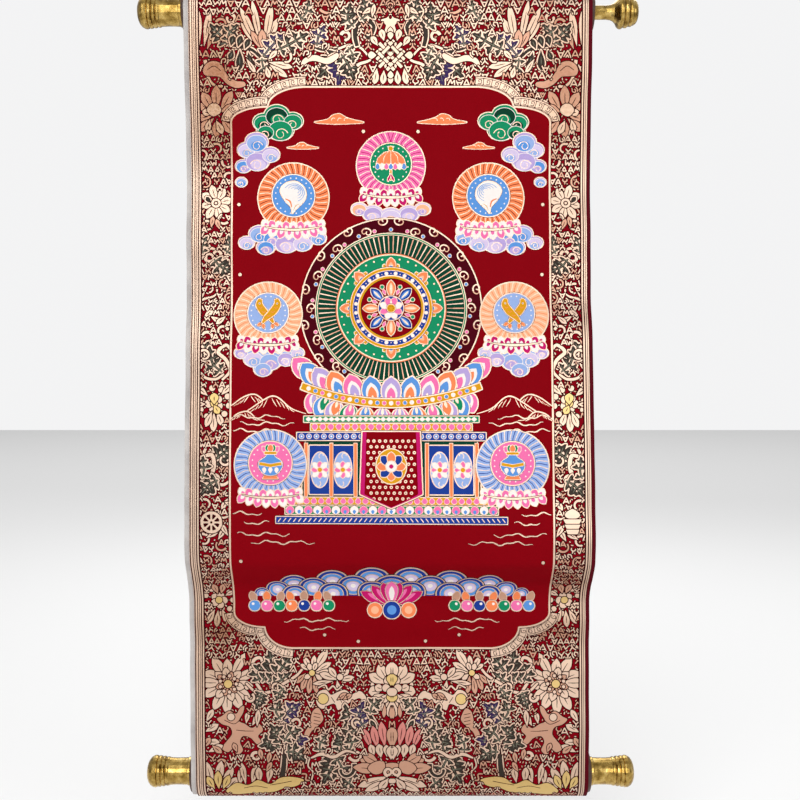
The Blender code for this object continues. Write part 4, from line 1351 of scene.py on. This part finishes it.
hanging = np.array([(-25, 386), (25, 386), (27, 440), (14, 446), (0, 452), (-14, 446), (-27, 440)])
seat([hanging], ((1.4, "ink"), (1.0, "gold"), (0, "magenta")))
seat([hanging * (0.86, 1)], ((0, "satin"),), within=hanging * (1, 0.985) + (0, 6))
for row, y in enumerate(np.arange(394, 446, 5.0)):
    for x in np.arange(-20 + (row % 2) * 2.5, 3, 5.0):
        seat([disc((x, y), 1.5, steps=8)], ((0, "gold"),), within=hanging * (0.84, 1))
        seat([disc((x, y), 0.7, steps=6)], ((0, "satin"),), within=hanging * (0.84, 1))
seat([disc((0, 416), 13, 1.15, 32)], ((1.1, "ink"), (0.8, "gold"), (0, "ochre")))
for k in range(8):
    seat([petal((0, 416), 45 * k, 12.5, 7.0, 0.6, 0.6)], ((0.6, "gold"), (0, "blue" if k % 2 else "orange")))
seat([disc((0, 416), 4.4, steps=20)], ((0.8, "gold"), (0, "white")))
seat([disc((0, 416), 2.0, steps=12)], ((0, "magenta"),))

# %% Drawing the picture: medallions
for kind, at, size, colours in (
        ("parasol", (0, 138), 30, ("rose", "magenta", "green", "magenta")),
        ("shell", (-86, 166), 31, ("orange", "satin", "sky", "rose")),
        ("fishes", (-108, 270), 29.5, ("peach", "orange", "haze", "magenta")),
        ("vase", (-105, 402), 31, ("haze", "blue", "rose", "rose"))):
    medallion(half_chart, at, size, *colours)
    emblem(half_chart, kind, (at[0], at[1] - 2.2), size * 0.48)

# %% Drawing the picture: the ground
for at, half, high, tone in (((-122, 352), 24, 12, "satin"), ((-104, 358), 30, 16, "satin"), ((-128, 364), 18, 9, "satin")):
    hill(half_chart, at, half, high, tone, int(-at[0]))
for y, left, right in (
        (360, -138, -92), (366, -132, -84), (372, -138, -104), (444, -138, -112), (452, -128, -106), (462, -134, -88),
        (469, -122, -66), (550, -96, -38), (558, -82, -50)):
    line = [(x, y + 1.3 * math.sin(x / 4.0) + 0.7 * math.sin(x / 1.7)) for x in np.linspace(left, right, 24)]
    ink([strip(line, (0.4, 1.0, 0.8, 0.3))], ((0.25, "contour"), (0, "gold")))
for x, y, radius in (
        (-17, 508, 17), (-52, 511, 16), (-86, 515, 14), (-34, 517, 15), (-69, 519, 14), (-101, 521, 11), (0, 518, 17), (-17, 524, 14),
        (-52, 526, 14), (-86, 527, 12), (-115, 526, 7.5)):
    wave(half_chart, (x, y), radius, 528)
for k, tone in enumerate(("sky", "rose", "green", "orange", "blue", "rose", "green")):
    x = -122 + 11.0 * k
    ink([petal((x, 534), -90 + (k % 3 - 1) * 14, 11, 6.4, 0.5, 0.7)], ((0.7, "gold"), (0, "orange" if k % 2 else "tan")))
    ink([disc((x, 537), 4.9, 0.95, 20)], ((1.1, "ink"), (0.8, "gold"), (0, tone)))
    ink([disc((x - 1.4, 535.4), 1.3, steps=10)], ((0, "white"),))
for lean in (-58, -34, -14):
    ink([petal((lean * 0.12, 536), -90 + lean, 24, 9, 0.55, 0.65)], ((0.9, "ink"), (0.6, "gold"), (0, "magenta")))
    ink([petal((lean * 0.12, 534), -90 + lean, 17, 4.4, 0.55, 0.7)], ((0, "rose"),))
ink([petal((0, 536), -90, 25, 11, 0.55, 0.65)], ((0.9, "ink"), (0.6, "gold"), (0, "rose")))
ink([petal((0, 534), -90, 17, 5, 0.55, 0.7)], ((0, "white"),))
for x, r, tone in ((-15, 6.4, "orange"), (0, 7.6, "blue")):
    ink([disc((x, 541), r, steps=26)], ((1.1, "ink"), (0.8, "gold"), (0, tone)))
    ink([disc((x, 541), r * 0.55, steps=20)], ((0, "peach" if tone == "orange" else "sky"),))
for x, y in ((-134, 172), (-133, 234), (-24, 108), (-131, 486), (-60, 564), (-30, 570)):
    ink([disc((x, y), 1.5, steps=10)], ((0.4, "contour"), (0, "gold")))
print("satin left free:", round(float((half_chart.thread == NUMBER["satin"]).mean()), 3))

# %% [markdown]
# The finished half is mirrored. Two places of the real border differ from side to side: low
# on the left is a wheel, on the right a banner. The outer edges differ too: the right one
# ends in a dark red selvage.

# %% The whole chart
keep = round(HALF_WIDTH / CELL)
chart = Chart(-HALF_WIDTH, FIRST_ROW, HALF_WIDTH, LAST_ROW)
chart.thread[:, :keep] = half_chart.thread[:, :keep]
chart.thread[:, keep:] = half_chart.thread[:, :keep][:, ::-1]
SIDE_EMBLEM = 452.0
wheel(chart, np.array((-156.5, SIDE_EMBLEM)), 9.6)
chart.ink([petal((156, SIDE_EMBLEM - 4), -90, 9, 13, 0.4)], STYLES["gold"])
for k in range(3):
    top, wide = SIDE_EMBLEM - 4 + 4.4 * k, 8 - 1.1 * k
    tier = [(156 - wide, top), (156 + wide, top), (156 + wide * 0.72, top + 4), (156 - wide * 0.72, top + 4)]
    chart.ink([np.array(tier)], STYLES["gold"])
chart.ink([strip([(HALF_WIDTH, FIRST_ROW - 5), (HALF_WIDTH, LAST_ROW + 5)], (6.4, 6.4))], ((0.4, "contour"), (0, "selvage")))
print("chart:", chart.shape, "squares")

# %% [markdown]
# To become cloth, the chart is traced: wherever two threads meet, the edges of the squares
# are joined to lines, rounded, and thinned to as few points as their bends need. These lines
# go into a triangulation as edges that it has to keep, with a loose grid between them that
# lets the cloth bend. Every triangle then lies in one thread, so the pattern is in the mesh
# itself and stays sharp from near. The cloth is cut into seven pieces in the same step.

# %% Tracing the chart
PIECES = ("cloth_top_wrap", "cloth_head", "cloth_left", "cloth_right", "cloth_foot", "cloth_foot_wrap", "picture_panel")
SOFTEN_ROUNDS = 5
LONGEST_STEP = 3.0
FINE, COARSE = 0.045, 0.10


def chart_places(shape):
    """Millimetre places of the squares' middles, across and down."""
    across = -HALF_WIDTH + (np.arange(shape[1]) + 0.5) * CELL
    down = FIRST_ROW + (np.arange(shape[0]) + 0.5) * CELL
    return across, down


def piece_map():
    """Which piece each square belongs to."""
    across, down = chart_places(chart.thread.shape)
    owner = np.zeros(chart.thread.shape, np.uint8)
    owner[:, across < 0] = 2
    owner[:, across >= 0] = 3
    owner[down < PANEL_TOP + 22] = 1
    owner[down < -12] = 0
    owner[down >= PANEL_FOOT - 26] = 4
    owner[down >= FRONT_END + 12] = 5
    panel = np.concatenate([left_side, left_side[::-1] * (-1, 1)])
    near = distance(panel, across.astype(np.float32), down.astype(np.float32))
    owner[near < 0.9] = 6
    return owner


def boundary_chains(label):
    """Lines of square corners along which the labels differ, from one meeting point to the next."""
    rows, columns = label.shape
    wide = columns + 1
    right = np.zeros((rows + 1, wide), np.uint8)
    down = np.zeros((rows + 1, wide), np.uint8)
    down[:rows, 1:columns] = label[:, 1:] != label[:, :-1]
    right[1:rows, :columns] = label[1:] != label[:-1]
    down[:rows, (0, columns)] = 1
    right[(0, rows), :columns] = 1
    degree = right + down
    degree[:, 1:] += right[:, :-1]
    degree[1:] += down[:-1]
    E, S, meets = bytearray(right.tobytes()), bytearray(down.tobytes()), bytearray(degree.tobytes())
    chains = []

    def walk(corner):
        path = [corner]
        while True:
            if E[corner]:
                E[corner] = 0
                corner += 1
            elif S[corner]:
                S[corner] = 0
                corner += wide
            elif E[corner - 1]:
                corner -= 1
                E[corner] = 0
            elif S[corner - wide]:
                corner -= wide
                S[corner] = 0
            else:
                return path
            path.append(corner)
            if meets[corner] != 2:
                return path

    for corner in np.flatnonzero((degree != 2) & (degree > 0)).tolist():
        while True:
            path = walk(corner)
            if len(path) < 2:
                break
            chains.append(path)
    for corner in np.flatnonzero(degree == 2).tolist():
        if E[corner] or S[corner]:
            chains.append(walk(corner))
    return chains, wide


def traced(label):
    """Points and edges, in millimetres of cloth, of the rounded lines between labels."""
    chains, wide = boundary_chains(label)
    sizes = np.array([len(chain) for chain in chains])
    corners = np.concatenate([np.array(chain) for chain in chains])
    used, index = np.unique(corners, return_inverse=True)
    row, column = used // wide, used % wide
    place = np.stack([-HALF_WIDTH + column * CELL, FIRST_ROW + row * CELL], axis=1).astype(float)
    fixed_x, fixed_y = (column == 0) | (column == wide - 1), (row == 0) | (row == label.shape[0])
    start = np.concatenate([[0], np.cumsum(sizes)])[:-1]
    last = np.zeros(len(index), bool)
    last[start + sizes - 1] = True
    a, b = index[:-1][~last[:-1]], index[1:][~last[:-1]]
    count = np.bincount(a, minlength=len(used)) + np.bincount(b, minlength=len(used))
    whole = place.copy()
    for _ in range(SOFTEN_ROUNDS):
        around = np.stack([
            np.bincount(a, place[b, k], len(used)) + np.bincount(b, place[a, k], len(used)) for k in (0, 1)], axis=1)
        place = 0.5 * place + 0.5 * around / count[:, None]
        place[fixed_x, 0], place[fixed_y, 1] = whole[fixed_x, 0], whole[fixed_y, 1]
    line = place[index]
    ends = last.copy()
    ends[start] = True
    allowed = np.where((line[:, 1] > -12) & (line[:, 1] < FRONT_END + 12), FINE, COARSE)
    chosen = np.arange(len(line))
    for turn in range(14):
        here = line[chosen]
        chord, lean = np.zeros_like(here), np.zeros_like(here)
        chord[1:-1], lean[1:-1] = here[2:] - here[:-2], here[1:-1] - here[:-2]
        span = np.hypot(*chord.T) + 1e-9
        off = np.abs(chord[:, 0] * lean[:, 1] - chord[:, 1] * lean[:, 0]) / span
        drop = (off < allowed[chosen]) & (span < LONGEST_STEP) & ~ends[chosen]
        drop[turn % 2::2] = False
        chosen = chosen[~drop]
    joins = ~last[chosen[:-1]]
    ends = np.stack([index[chosen[:-1]][joins], index[chosen[1:]][joins]], axis=1)
    ends = ends[ends[:, 0] != ends[:, 1]]
    points, ends = np.unique(ends, return_inverse=True)
    return place[points], ends.reshape(-1, 2)


def grid_between(points, pitch, gap):
    """Grid points that keep a gap to the traced ones."""
    across = np.arange(-HALF_WIDTH + pitch[0], HALF_WIDTH, pitch[0])
    down = np.arange(FIRST_ROW + pitch[1], LAST_ROW - 0.5, pitch[1])
    grid = np.stack(np.meshgrid(across, down), axis=-1)
    grid[1::2, :, 0] += pitch[0] / 2
    grid = grid.reshape(-1, 2)
    grid = grid[grid[:, 0] < HALF_WIDTH - 0.6]
    low = np.array((-HALF_WIDTH - 3, FIRST_ROW - 3))
    near = np.zeros(np.ceil((np.array((HALF_WIDTH, LAST_ROW)) + 3 - low) / gap).astype(int) + 2, bool)
    cells = ((points - low) / gap).astype(int)
    for dx in (-1, 0, 1):
        for dy in (-1, 0, 1):
            near[cells[:, 0] + dx, cells[:, 1] + dy] = True
    where = ((grid - low) / gap).astype(int)
    return grid[~near[where[:, 0], where[:, 1]]]


owner = piece_map()
label = owner.astype(np.int16) * 32 + chart.thread
line_points, line_edges = traced(label)
grid_points = grid_between(line_points, (3.2, 2.4), 0.8)
every = np.concatenate([line_points, grid_points])
flat, sides, triangles, _, kept_lines, _ = geometry.delaunay_2d_cdt(
    [Vector(p) for p in every], line_edges.tolist(), [], 0, 1e-6, True)
flat = np.array([tuple(p) for p in flat])
line_sides = np.array([tuple(side) for side, lines in zip(sides, kept_lines) if lines])
triangles = np.array([t for t in triangles if len(t) == 3])
a, b, c = (flat[triangles[:, k]] for k in range(3))
area = 0.5 * ((b - a)[:, 0] * (c - a)[:, 1] - (b - a)[:, 1] * (c - a)[:, 0])
triangles[area < 0] = triangles[area < 0][:, ::-1]


def patches(triangles, walls, count):
    """Numbers the triangles, with one number for all that meet without a wall between them."""
    size = len(triangles)
    ends = np.sort(np.concatenate([triangles[:, [0, 1]], triangles[:, [1, 2]], triangles[:, [2, 0]]]), axis=1)
    keys = ends[:, 0].astype(np.int64) * count + ends[:, 1]
    order = np.argsort(keys, kind="stable")
    face = np.tile(np.arange(size), 3)[order]
    keys = keys[order]
    same = keys[1:] == keys[:-1]
    walls = np.sort(walls, axis=1)
    same &= ~np.isin(keys[1:], walls[:, 0].astype(np.int64) * count + walls[:, 1])
    one, other = face[:-1][same], face[1:][same]
    lowest = np.arange(size)
    while True:
        least = np.minimum(lowest[one], lowest[other])
        fresh = lowest.copy()
        np.minimum.at(fresh, lowest[one], least)
        np.minimum.at(fresh, lowest[other], least)
        fresh = fresh[fresh]
        if (fresh == lowest).all():
            return lowest
        lowest = fresh


def voted(patch, label, weight):
    """The label with the largest area in each patch, for every triangle of it."""
    keys, where = np.unique(patch.astype(np.int64) * 256 + label, return_inverse=True)
    total = np.bincount(where, weight)
    order = np.lexsort((total, keys // 256))
    best = order[np.concatenate([np.diff(keys[order] // 256) > 0, [True]])]
    winner = dict(zip((keys[best] // 256).tolist(), (keys[best] % 256).tolist()))
    numbers, back = np.unique(patch, return_inverse=True)
    return np.array([winner[n] for n in numbers.tolist()])[back]


middle = flat[triangles].mean(axis=1)
rows = np.clip(((middle[:, 1] - FIRST_ROW) / CELL).astype(int), 0, label.shape[0] - 1)
columns = np.clip(((middle[:, 0] + HALF_WIDTH) / CELL).astype(int), 0, label.shape[1] - 1)
face_label = voted(patches(triangles, line_sides, len(flat)), label[rows, columns], np.abs(area) + 1e-9)
face_thread, face_piece = face_label % 32, face_label // 32
print("points on lines:", len(line_points), "grid points:", len(grid_points), "triangles:", len(triangles))

# %% [markdown]
# Each piece is closed: the patterned front, a plainer back pushed towards the lining by the
# cloth's thickness, and a narrow wall between their rims. The front keeps its flat place as
# a UV map in metres, for the weave, and the colour and metal of its thread on its corners.

# %% Cutting the pieces
BROCADE_THICKNESS = 0.0011
THREAD_COLOURS = {
    "ground": (122, 0, 16), "contour": (50, 4, 8), "gold": (232, 204, 180), "leaf": (58, 52, 46),
    "tan": (208, 162, 136), "blush": (214, 138, 128), "violet": (58, 44, 84), "maroon": (70, 2, 16),
    "yellow": (230, 200, 132), "satin": (128, 0, 12), "green": (24, 136, 92), "lilac": (178, 160, 210),
    "sky": (90, 146, 212), "blue": (30, 60, 142), "orange": (238, 134, 84), "rose": (234, 112, 168),
    "magenta": (190, 26, 102), "ochre": (212, 152, 28), "white": (238, 232, 226), "foliage": (14, 60, 42),
    "ink": (24, 10, 24), "selvage": (84, 10, 22), "mist": (208, 194, 224), "haze": (146, 172, 220),
    "peach": (244, 180, 140), "fern": (112, 112, 96)}
THREAD_METAL = {"gold": 0.85, "tan": 0.75, "blush": 0.5, "yellow": 0.85, "leaf": 0.3, "violet": 0.35}
colour_of = np.array([shade(*THREAD_COLOURS[name]) for name in THREADS], np.float32)
metal_of = np.array([THREAD_METAL.get(name, 0.0) for name in THREADS], np.float32)


# Painted shade with some wear: spots where the gold is dulled to khaki, mostly on folds and turns that face away from
# the light. Columns: across, down, width, height, how much.
WORN_AND_SHADED_SPOTS = (
    (-152, 60, 22, 50, 0.95), (-152, 118, 20, 26, 0.5), (-152, 214, 20, 20, 0.3), (-152, 560, 20, 24, 0.85),
    (-152, 596, 20, 12, 0.3), (152, 58, 22, 48, 0.6), (152, 118, 20, 22, 0.35), (152, 214, 20, 22, 0.3),
    (152, 556, 20, 20, 0.35), (-120, 15, 40, 14, 0.45), (120, 15, 40, 12, 0.25), (-110, 690, 60, 10, 0.4), (110, 690, 60, 10, 0.4))


def wear_and_fold_shade(x, s):
    """How much the gilt is dulled at a place, from 0 to 1: painted shade on the folds that face away from the light,
    with some wear.
    """
    total = 0.05 + 0.04 * np.sin(x / 17 + s / 31) + 0.04 * np.sin(s / 13 - x / 29)
    for at_x, at_s, wide, tall, much in WORN_AND_SHADED_SPOTS:
        total = total + much * np.exp(-((x - at_x) / wide) ** 2 - ((s - at_s) / tall) ** 2)
    return np.clip(total, 0, 1)


def rim_of(faces):
    """The directed edges that only one face uses."""
    sides = np.concatenate([faces[:, [0, 1]], faces[:, [1, 2]], faces[:, [2, 0]]])
    keys = np.sort(sides, axis=1)
    _, where, count = np.unique(keys, axis=0, return_index=True, return_counts=True)
    return sides[where[count == 1]]


def backing(points, rim, owner_number):
    """A coarse triangulation inside a piece's rim."""
    ring, ends = np.unique(rim, return_inverse=True)
    across = np.arange(-HALF_WIDTH + 4, HALF_WIDTH, 8.0)
    down = np.arange(FIRST_ROW + 2, LAST_ROW, 3.0)
    grid = np.stack(np.meshgrid(across, down), axis=-1).reshape(-1, 2)
    rows = ((grid[:, 1] - FIRST_ROW) / CELL).astype(int)
    columns = ((grid[:, 0] + HALF_WIDTH) / CELL).astype(int)
    inner = np.ones(len(grid), bool)
    for dy, dx in ((0, 0), (5, 0), (-5, 0), (0, 5), (0, -5)):
        inner &= owner[np.clip(rows + dy, 0, owner.shape[0] - 1), np.clip(columns + dx, 0, owner.shape[1] - 1)] == owner_number
    ends = ends.reshape(-1, 2)
    found, _, faces, origin, _, _ = geometry.delaunay_2d_cdt(
        [Vector(p) for p in np.concatenate([points[ring], grid[inner]])], ends.tolist(), [], 0, 1e-7, True)
    found = np.array([tuple(p) for p in found])
    source = np.array([inputs[0] for inputs in origin])
    where = np.empty(len(ring) + inner.sum(), int)
    for k, inputs in enumerate(origin):
        where[inputs] = k
    faces = np.array([f for f in faces if len(f) == 3])
    a, b, c = (found[faces[:, k]] for k in range(3))
    facing = (b - a)[:, 0] * (c - a)[:, 1] - (b - a)[:, 1] * (c - a)[:, 0]
    faces[facing < 0] = faces[facing < 0][:, ::-1]
    sides = where[ends]
    patch = patches(faces, sides, len(found))
    inward = np.zeros(len(faces), bool)
    for k in range(3):
        inward |= np.isin(faces[:, k] * len(found) + faces[:, (k + 1) % 3], sides[:, 0] * len(found) + sides[:, 1])
    return ring, found, faces[np.isin(patch, patch[inward])], source


def cloth_piece(name, number):
    mine = face_piece == number
    used, faces = np.unique(triangles[mine], return_inverse=True)
    faces = faces.reshape(-1, 3)
    points = flat[used]
    rim = rim_of(faces)
    ring, found, back, source = backing(points, rim, number)
    n = len(points)
    target = np.full(len(found), -1)
    on_rim = (source >= 0) & (source < len(ring))
    target[on_rim] = np.arange(n, n + on_rim.sum())
    target[~on_rim] = np.arange(n + on_rim.sum(), n + len(found))
    rim_back = np.full(n, -1)
    rim_back[ring[source[on_rim]]] = target[on_rim]
    order = np.argsort(target)
    back_points = found[order]
    a, b, c = (found[back[:, k]] for k in range(3))
    facing = (b - a)[:, 0] * (c - a)[:, 1] - (b - a)[:, 1] * (c - a)[:, 0]
    back = target[back]
    back[facing > 0] = back[facing > 0][:, ::-1]
    walls = [(q, p, int(rim_back[p]), int(rim_back[q])) for p, q in rim.tolist()]
    front_places = lay(points[:, 0], points[:, 1])
    back_places = lay(back_points[:, 0], back_points[:, 1], BROCADE_THICKNESS)
    mesh = bpy.data.meshes.new(name)
    mesh.from_pydata(np.concatenate([front_places, back_places]).tolist(), [], faces.tolist() + back.tolist() + walls)
    sides = np.concatenate([points, back_points])
    corner_vertex = np.zeros(len(mesh.loops), np.int32)
    mesh.loops.foreach_get("vertex_index", corner_vertex)
    weave = mesh.uv_layers.new(name="weave")
    weave.uv.foreach_set("vector", (sides[corner_vertex] / 1000).astype(np.float32).ravel())
    thread = np.concatenate([face_thread[mine], np.full(len(back), NUMBER["ground"]), np.full(len(walls), NUMBER["ground"])])
    counts = np.concatenate([np.full(len(faces) + len(back), 3), np.full(len(walls), 4)])
    per_corner = np.repeat(thread, counts)
    tint = mesh.color_attributes.new("thread_colour", "FLOAT_COLOR", "CORNER")
    tint.data.foreach_set("color", colour_of[per_corner].ravel())
    metal = mesh.attributes.new("thread_metal", "FLOAT", "CORNER")
    metal.data.foreach_set("value", metal_of[per_corner])
    # Painted shade and wear: how far the gilt is dulled, on each corner.
    wear_and_shade = mesh.attributes.new("gilt_rubbed", "FLOAT", "CORNER")
    wear_and_shade.data.foreach_set("value", wear_and_fold_shade(*sides[corner_vertex].T).astype(np.float32))
    mesh.shade_smooth()
    mesh.set_sharp_from_angle(angle=math.radians(50))
    mesh.validate()
    obj = bpy.data.objects.new(name, mesh)
    scene.collection.objects.link(obj)
    print(name, "front", len(faces), "back", len(back), "walls", len(walls))
    return obj


cloth = {name: cloth_piece(name, number) for number, name in enumerate(PIECES)}

# %% [markdown]
# Brocade is a satin ground with thicker metal threads floating over it. The material takes
# its colour from the mesh, breaks it up with uneven thread, and adds two fine ribbings from
# the flat coordinates: close warp ribs everywhere and slanting floats on the gold. Gold
# threads are partly metal, so they go bright or khaki with the fold that they lie on. The
# gold is also painted khaki where the mesh says so: painted shade on the folds that face
# away from the light, with some wear.

# %% Material of the brocade
def brocade_finish(name):
    finish = Finish(name)
    uv = finish.node("ShaderNodeUVMap", {"uv_map": "weave"})
    colour = finish.read("thread_colour", output=0)
    metal = finish.read("thread_metal")
    wear_and_shade = finish.read("gilt_rubbed")
    apart = finish.node("ShaderNodeSeparateXYZ", Vector=uv)
    across, down = Wire(finish.tree, apart.socket.node.outputs[0]), Wire(finish.tree, apart.socket.node.outputs[1])
    patch = finish.node("ShaderNodeTexNoise", Vector=uv, Scale=38.0, Detail=4.0, Roughness=0.6)
    slub = finish.node("ShaderNodeTexNoise", Vector=finish.node("ShaderNodeMapping", Vector=uv, Scale=(300.0, 2200.0, 1.0)), Scale=1.0, Detail=2.0)
    worn = finish.mixed(patch * 0.30, colour, finish.mixed(1.0, colour, (0.80, 0.70, 0.72, 1), "MULTIPLY"))
    lit = finish.mixed(slub * 0.35, worn, finish.mixed(1.0, worn, (0.62, 0.58, 0.60, 1), "MULTIPLY"))
    spots = finish.node("ShaderNodeTexNoise", Vector=uv, Scale=420.0, Detail=2.0)
    # Gold goes khaki by the mesh's painted shade on the folds, with some wear and small spots.
    gilt_dulled_by_wear_and_shade = (wear_and_shade * (spots * 1.1 + 0.35)) * metal
    khaki = finish.mixed(1.0, lit, shade(172, 142, 104), "MULTIPLY")
    sheen = finish.mixed(gilt_dulled_by_wear_and_shade, lit, khaki)
    ribs = (across * 9000.0).sine() * 0.5 + (down * 7000.0).sine() * 0.35
    floats = ((across + down * 0.8) * 5200.0).sine() * metal
    height = ribs * 0.4 + floats * 0.9 + slub * 0.6
    bump = finish.node("ShaderNodeBump", Strength=0.35, Distance=0.0002, Height=height)
    finish.wear(
        Base_Color=sheen, Metallic=metal, Roughness=0.60 - metal * 0.28 + patch * 0.08 + gilt_dulled_by_wear_and_shade * 0.2, Normal=bump,
        Specular_IOR_Level=0.03)
    return finish.material


brocade = brocade_finish("brocade")
for obj in cloth.values():
    obj.data.materials.append(brocade)
    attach(obj, "root")
    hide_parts("brocade")
print("brocade nodes:", len(brocade.node_tree.nodes))

# %% [markdown]
# The lining is a plain grey-ivory cotton behind the brocade. At the left it shows as a narrow
# pale strip beside the gold bands. It follows the same folds, pushed back by the thickness of
# the brocade, and ends a little earlier round the rods.

# %% Lining
LINING_THICKNESS, GAP = 0.0010, 0.0003
LINING_SHOWS = 4.5
LINING_WRAP_DEGREES = 205
lining_reach = math.radians(LINING_WRAP_DEGREES) * ROLL_RADIUS * 1000
lining_x = np.concatenate([[-HALF_WIDTH - LINING_SHOWS, -HALF_WIDTH - LINING_SHOWS / 2], np.linspace(-HALF_WIDTH, HALF_WIDTH, 60)])
lining_s = np.linspace(-lining_reach, FRONT_END + lining_reach, 380)


def lining_points(depth):
    x, s = (v.ravel() for v in np.meshgrid(lining_x, lining_s))
    return lay(x, s, depth), np.stack([x, s], axis=1) / 1000


def sheet_mesh(name, outer, inner, flat_places, wide, tall):
    """A closed sheet from two grids of points, outer in front."""
    n = wide * tall
    faces = []
    for j in range(tall - 1):
        for i in range(wide - 1):
            a = j * wide + i
            faces.append((a, a + wide, a + wide + 1, a + 1))
            faces.append((n + a, n + a + 1, n + a + wide + 1, n + a + wide))
    ring = [i for i in range(wide)] + [j * wide + wide - 1 for j in range(1, tall)]
    ring += [(tall - 1) * wide + i for i in range(wide - 2, -1, -1)] + [j * wide for j in range(tall - 2, 0, -1)]
    for a, b in zip(ring, ring[1:] + ring[:1]):
        faces.append((a, b, n + b, n + a))
    mesh = bpy.data.meshes.new(name)
    mesh.from_pydata(np.concatenate([outer, inner]).tolist(), [], faces)
    both = np.concatenate([flat_places, flat_places])
    corner_vertex = np.zeros(len(mesh.loops), np.int32)
    mesh.loops.foreach_get("vertex_index", corner_vertex)
    mesh.uv_layers.new(name="weave").uv.foreach_set("vector", both[corner_vertex].astype(np.float32).ravel())
    mesh.shade_smooth()
    mesh.set_sharp_from_angle(angle=math.radians(50))
    obj = bpy.data.objects.new(name, mesh)
    scene.collection.objects.link(obj)
    return obj


lining_front, lining_flat = lining_points(BROCADE_THICKNESS + GAP)
lining_back, _ = lining_points(BROCADE_THICKNESS + GAP + LINING_THICKNESS)
lining = sheet_mesh("lining_cloth", lining_front, lining_back, lining_flat, len(lining_x), len(lining_s))

cotton = Finish("cotton_lining")
uv = cotton.node("ShaderNodeUVMap", {"uv_map": "weave"})
soil = cotton.node("ShaderNodeTexNoise", Vector=uv, Scale=22.0, Detail=5.0, Roughness=0.62)
slub = cotton.node("ShaderNodeTexNoise", Vector=cotton.node("ShaderNodeMapping", Vector=uv, Scale=(1800.0, 260.0, 1.0)), Scale=1.0)
apart = cotton.node("ShaderNodeSeparateXYZ", Vector=uv)
across, down = (Wire(cotton.tree, apart.socket.node.outputs[k]) for k in (0, 1))
weave = (across * 7000.0).sine() * (down * 7000.0).sine()
tone = cotton.node("ShaderNodeValToRGB", {"stops": ((0.30, shade(158, 152, 150)), (0.72, shade(206, 201, 196)))}, Fac=soil)
cotton.wear(
    Base_Color=cotton.mixed(slub * 0.25, tone, shade(150, 143, 140)), Roughness=0.88, Sheen_Weight=0.2,
    Normal=cotton.node("ShaderNodeBump", Strength=0.4, Distance=0.0002, Height=weave * 0.5 + slub * 0.6))
lining.data.materials.append(cotton.material)
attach(lining, "root")
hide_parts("lining")
print("lining:", len(lining.data.polygons), "faces")

# %% [markdown]
# The rods are stained wood and the knobs turned brass. Both keep the shape of the solids and
# only get better materials. The brass is a little patchy, where it has been handled.

# %% Wood and brass
wood = Finish("stained_wood")
place = wood.node("ShaderNodeTexCoord", output=3)
grain = wood.node("ShaderNodeTexNoise", Vector=wood.node("ShaderNodeMapping", Vector=place, Scale=(14.0, 420.0, 420.0)), Scale=1.0, Detail=6.0, Roughness=0.65)
bands = wood.node("ShaderNodeTexNoise", Vector=wood.node("ShaderNodeMapping", Vector=place, Scale=(6.0, 90.0, 90.0)), Scale=1.0, Detail=2.0)
wood.wear(
    Base_Color=wood.node("ShaderNodeValToRGB", {"stops": ((0.25, shade(30, 17, 13)), (0.75, shade(86, 52, 36)))}, Fac=grain * 0.7 + bands * 0.3),
    Roughness=0.38 + grain * 0.22, Coat_Weight=0.15,
    Normal=wood.node("ShaderNodeBump", Strength=0.25, Distance=0.0004, Height=grain))
brass = Finish("turned_brass")
place = brass.node("ShaderNodeTexCoord", output=3)
tarnish = brass.node("ShaderNodeTexNoise", Vector=place, Scale=160.0, Detail=5.0, Roughness=0.6)
turning = brass.node("ShaderNodeTexNoise", Vector=brass.node("ShaderNodeMapping", Vector=place, Scale=(2600.0, 60.0, 60.0)), Scale=1.0, Detail=2.0)
brass.wear(
    Base_Color=brass.node("ShaderNodeValToRGB", {"stops": ((0.34, shade(124, 96, 40)), (0.55, shade(186, 154, 84)), (0.75, shade(226, 200, 132)))}, Fac=tarnish),
    Metallic=1.0, Roughness=0.16 + tarnish * 0.22,
    Normal=brass.node("ShaderNodeBump", Strength=0.12, Distance=0.0002, Height=turning))
for name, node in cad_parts.items():
    finish = wood if name.startswith("roller") else brass if name.startswith("knob") else None
    if finish:
        for slot in node.material_slots:
            slot.material = finish.material
print("dressed:", [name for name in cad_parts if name.startswith(("roller", "knob"))])

# %% [markdown]
# The cloth was woven and cut flat. Its seven pieces are one length of brocade, and the flat
# corners of each piece's triangles are gathered here.

# %% What each sheet was cut to
for number, (name, obj) in enumerate(cloth.items()):
    mine = face_piece == number
    corners = flat[triangles[mine]]
    a, b, c = corners[:, 0], corners[:, 1], corners[:, 2]
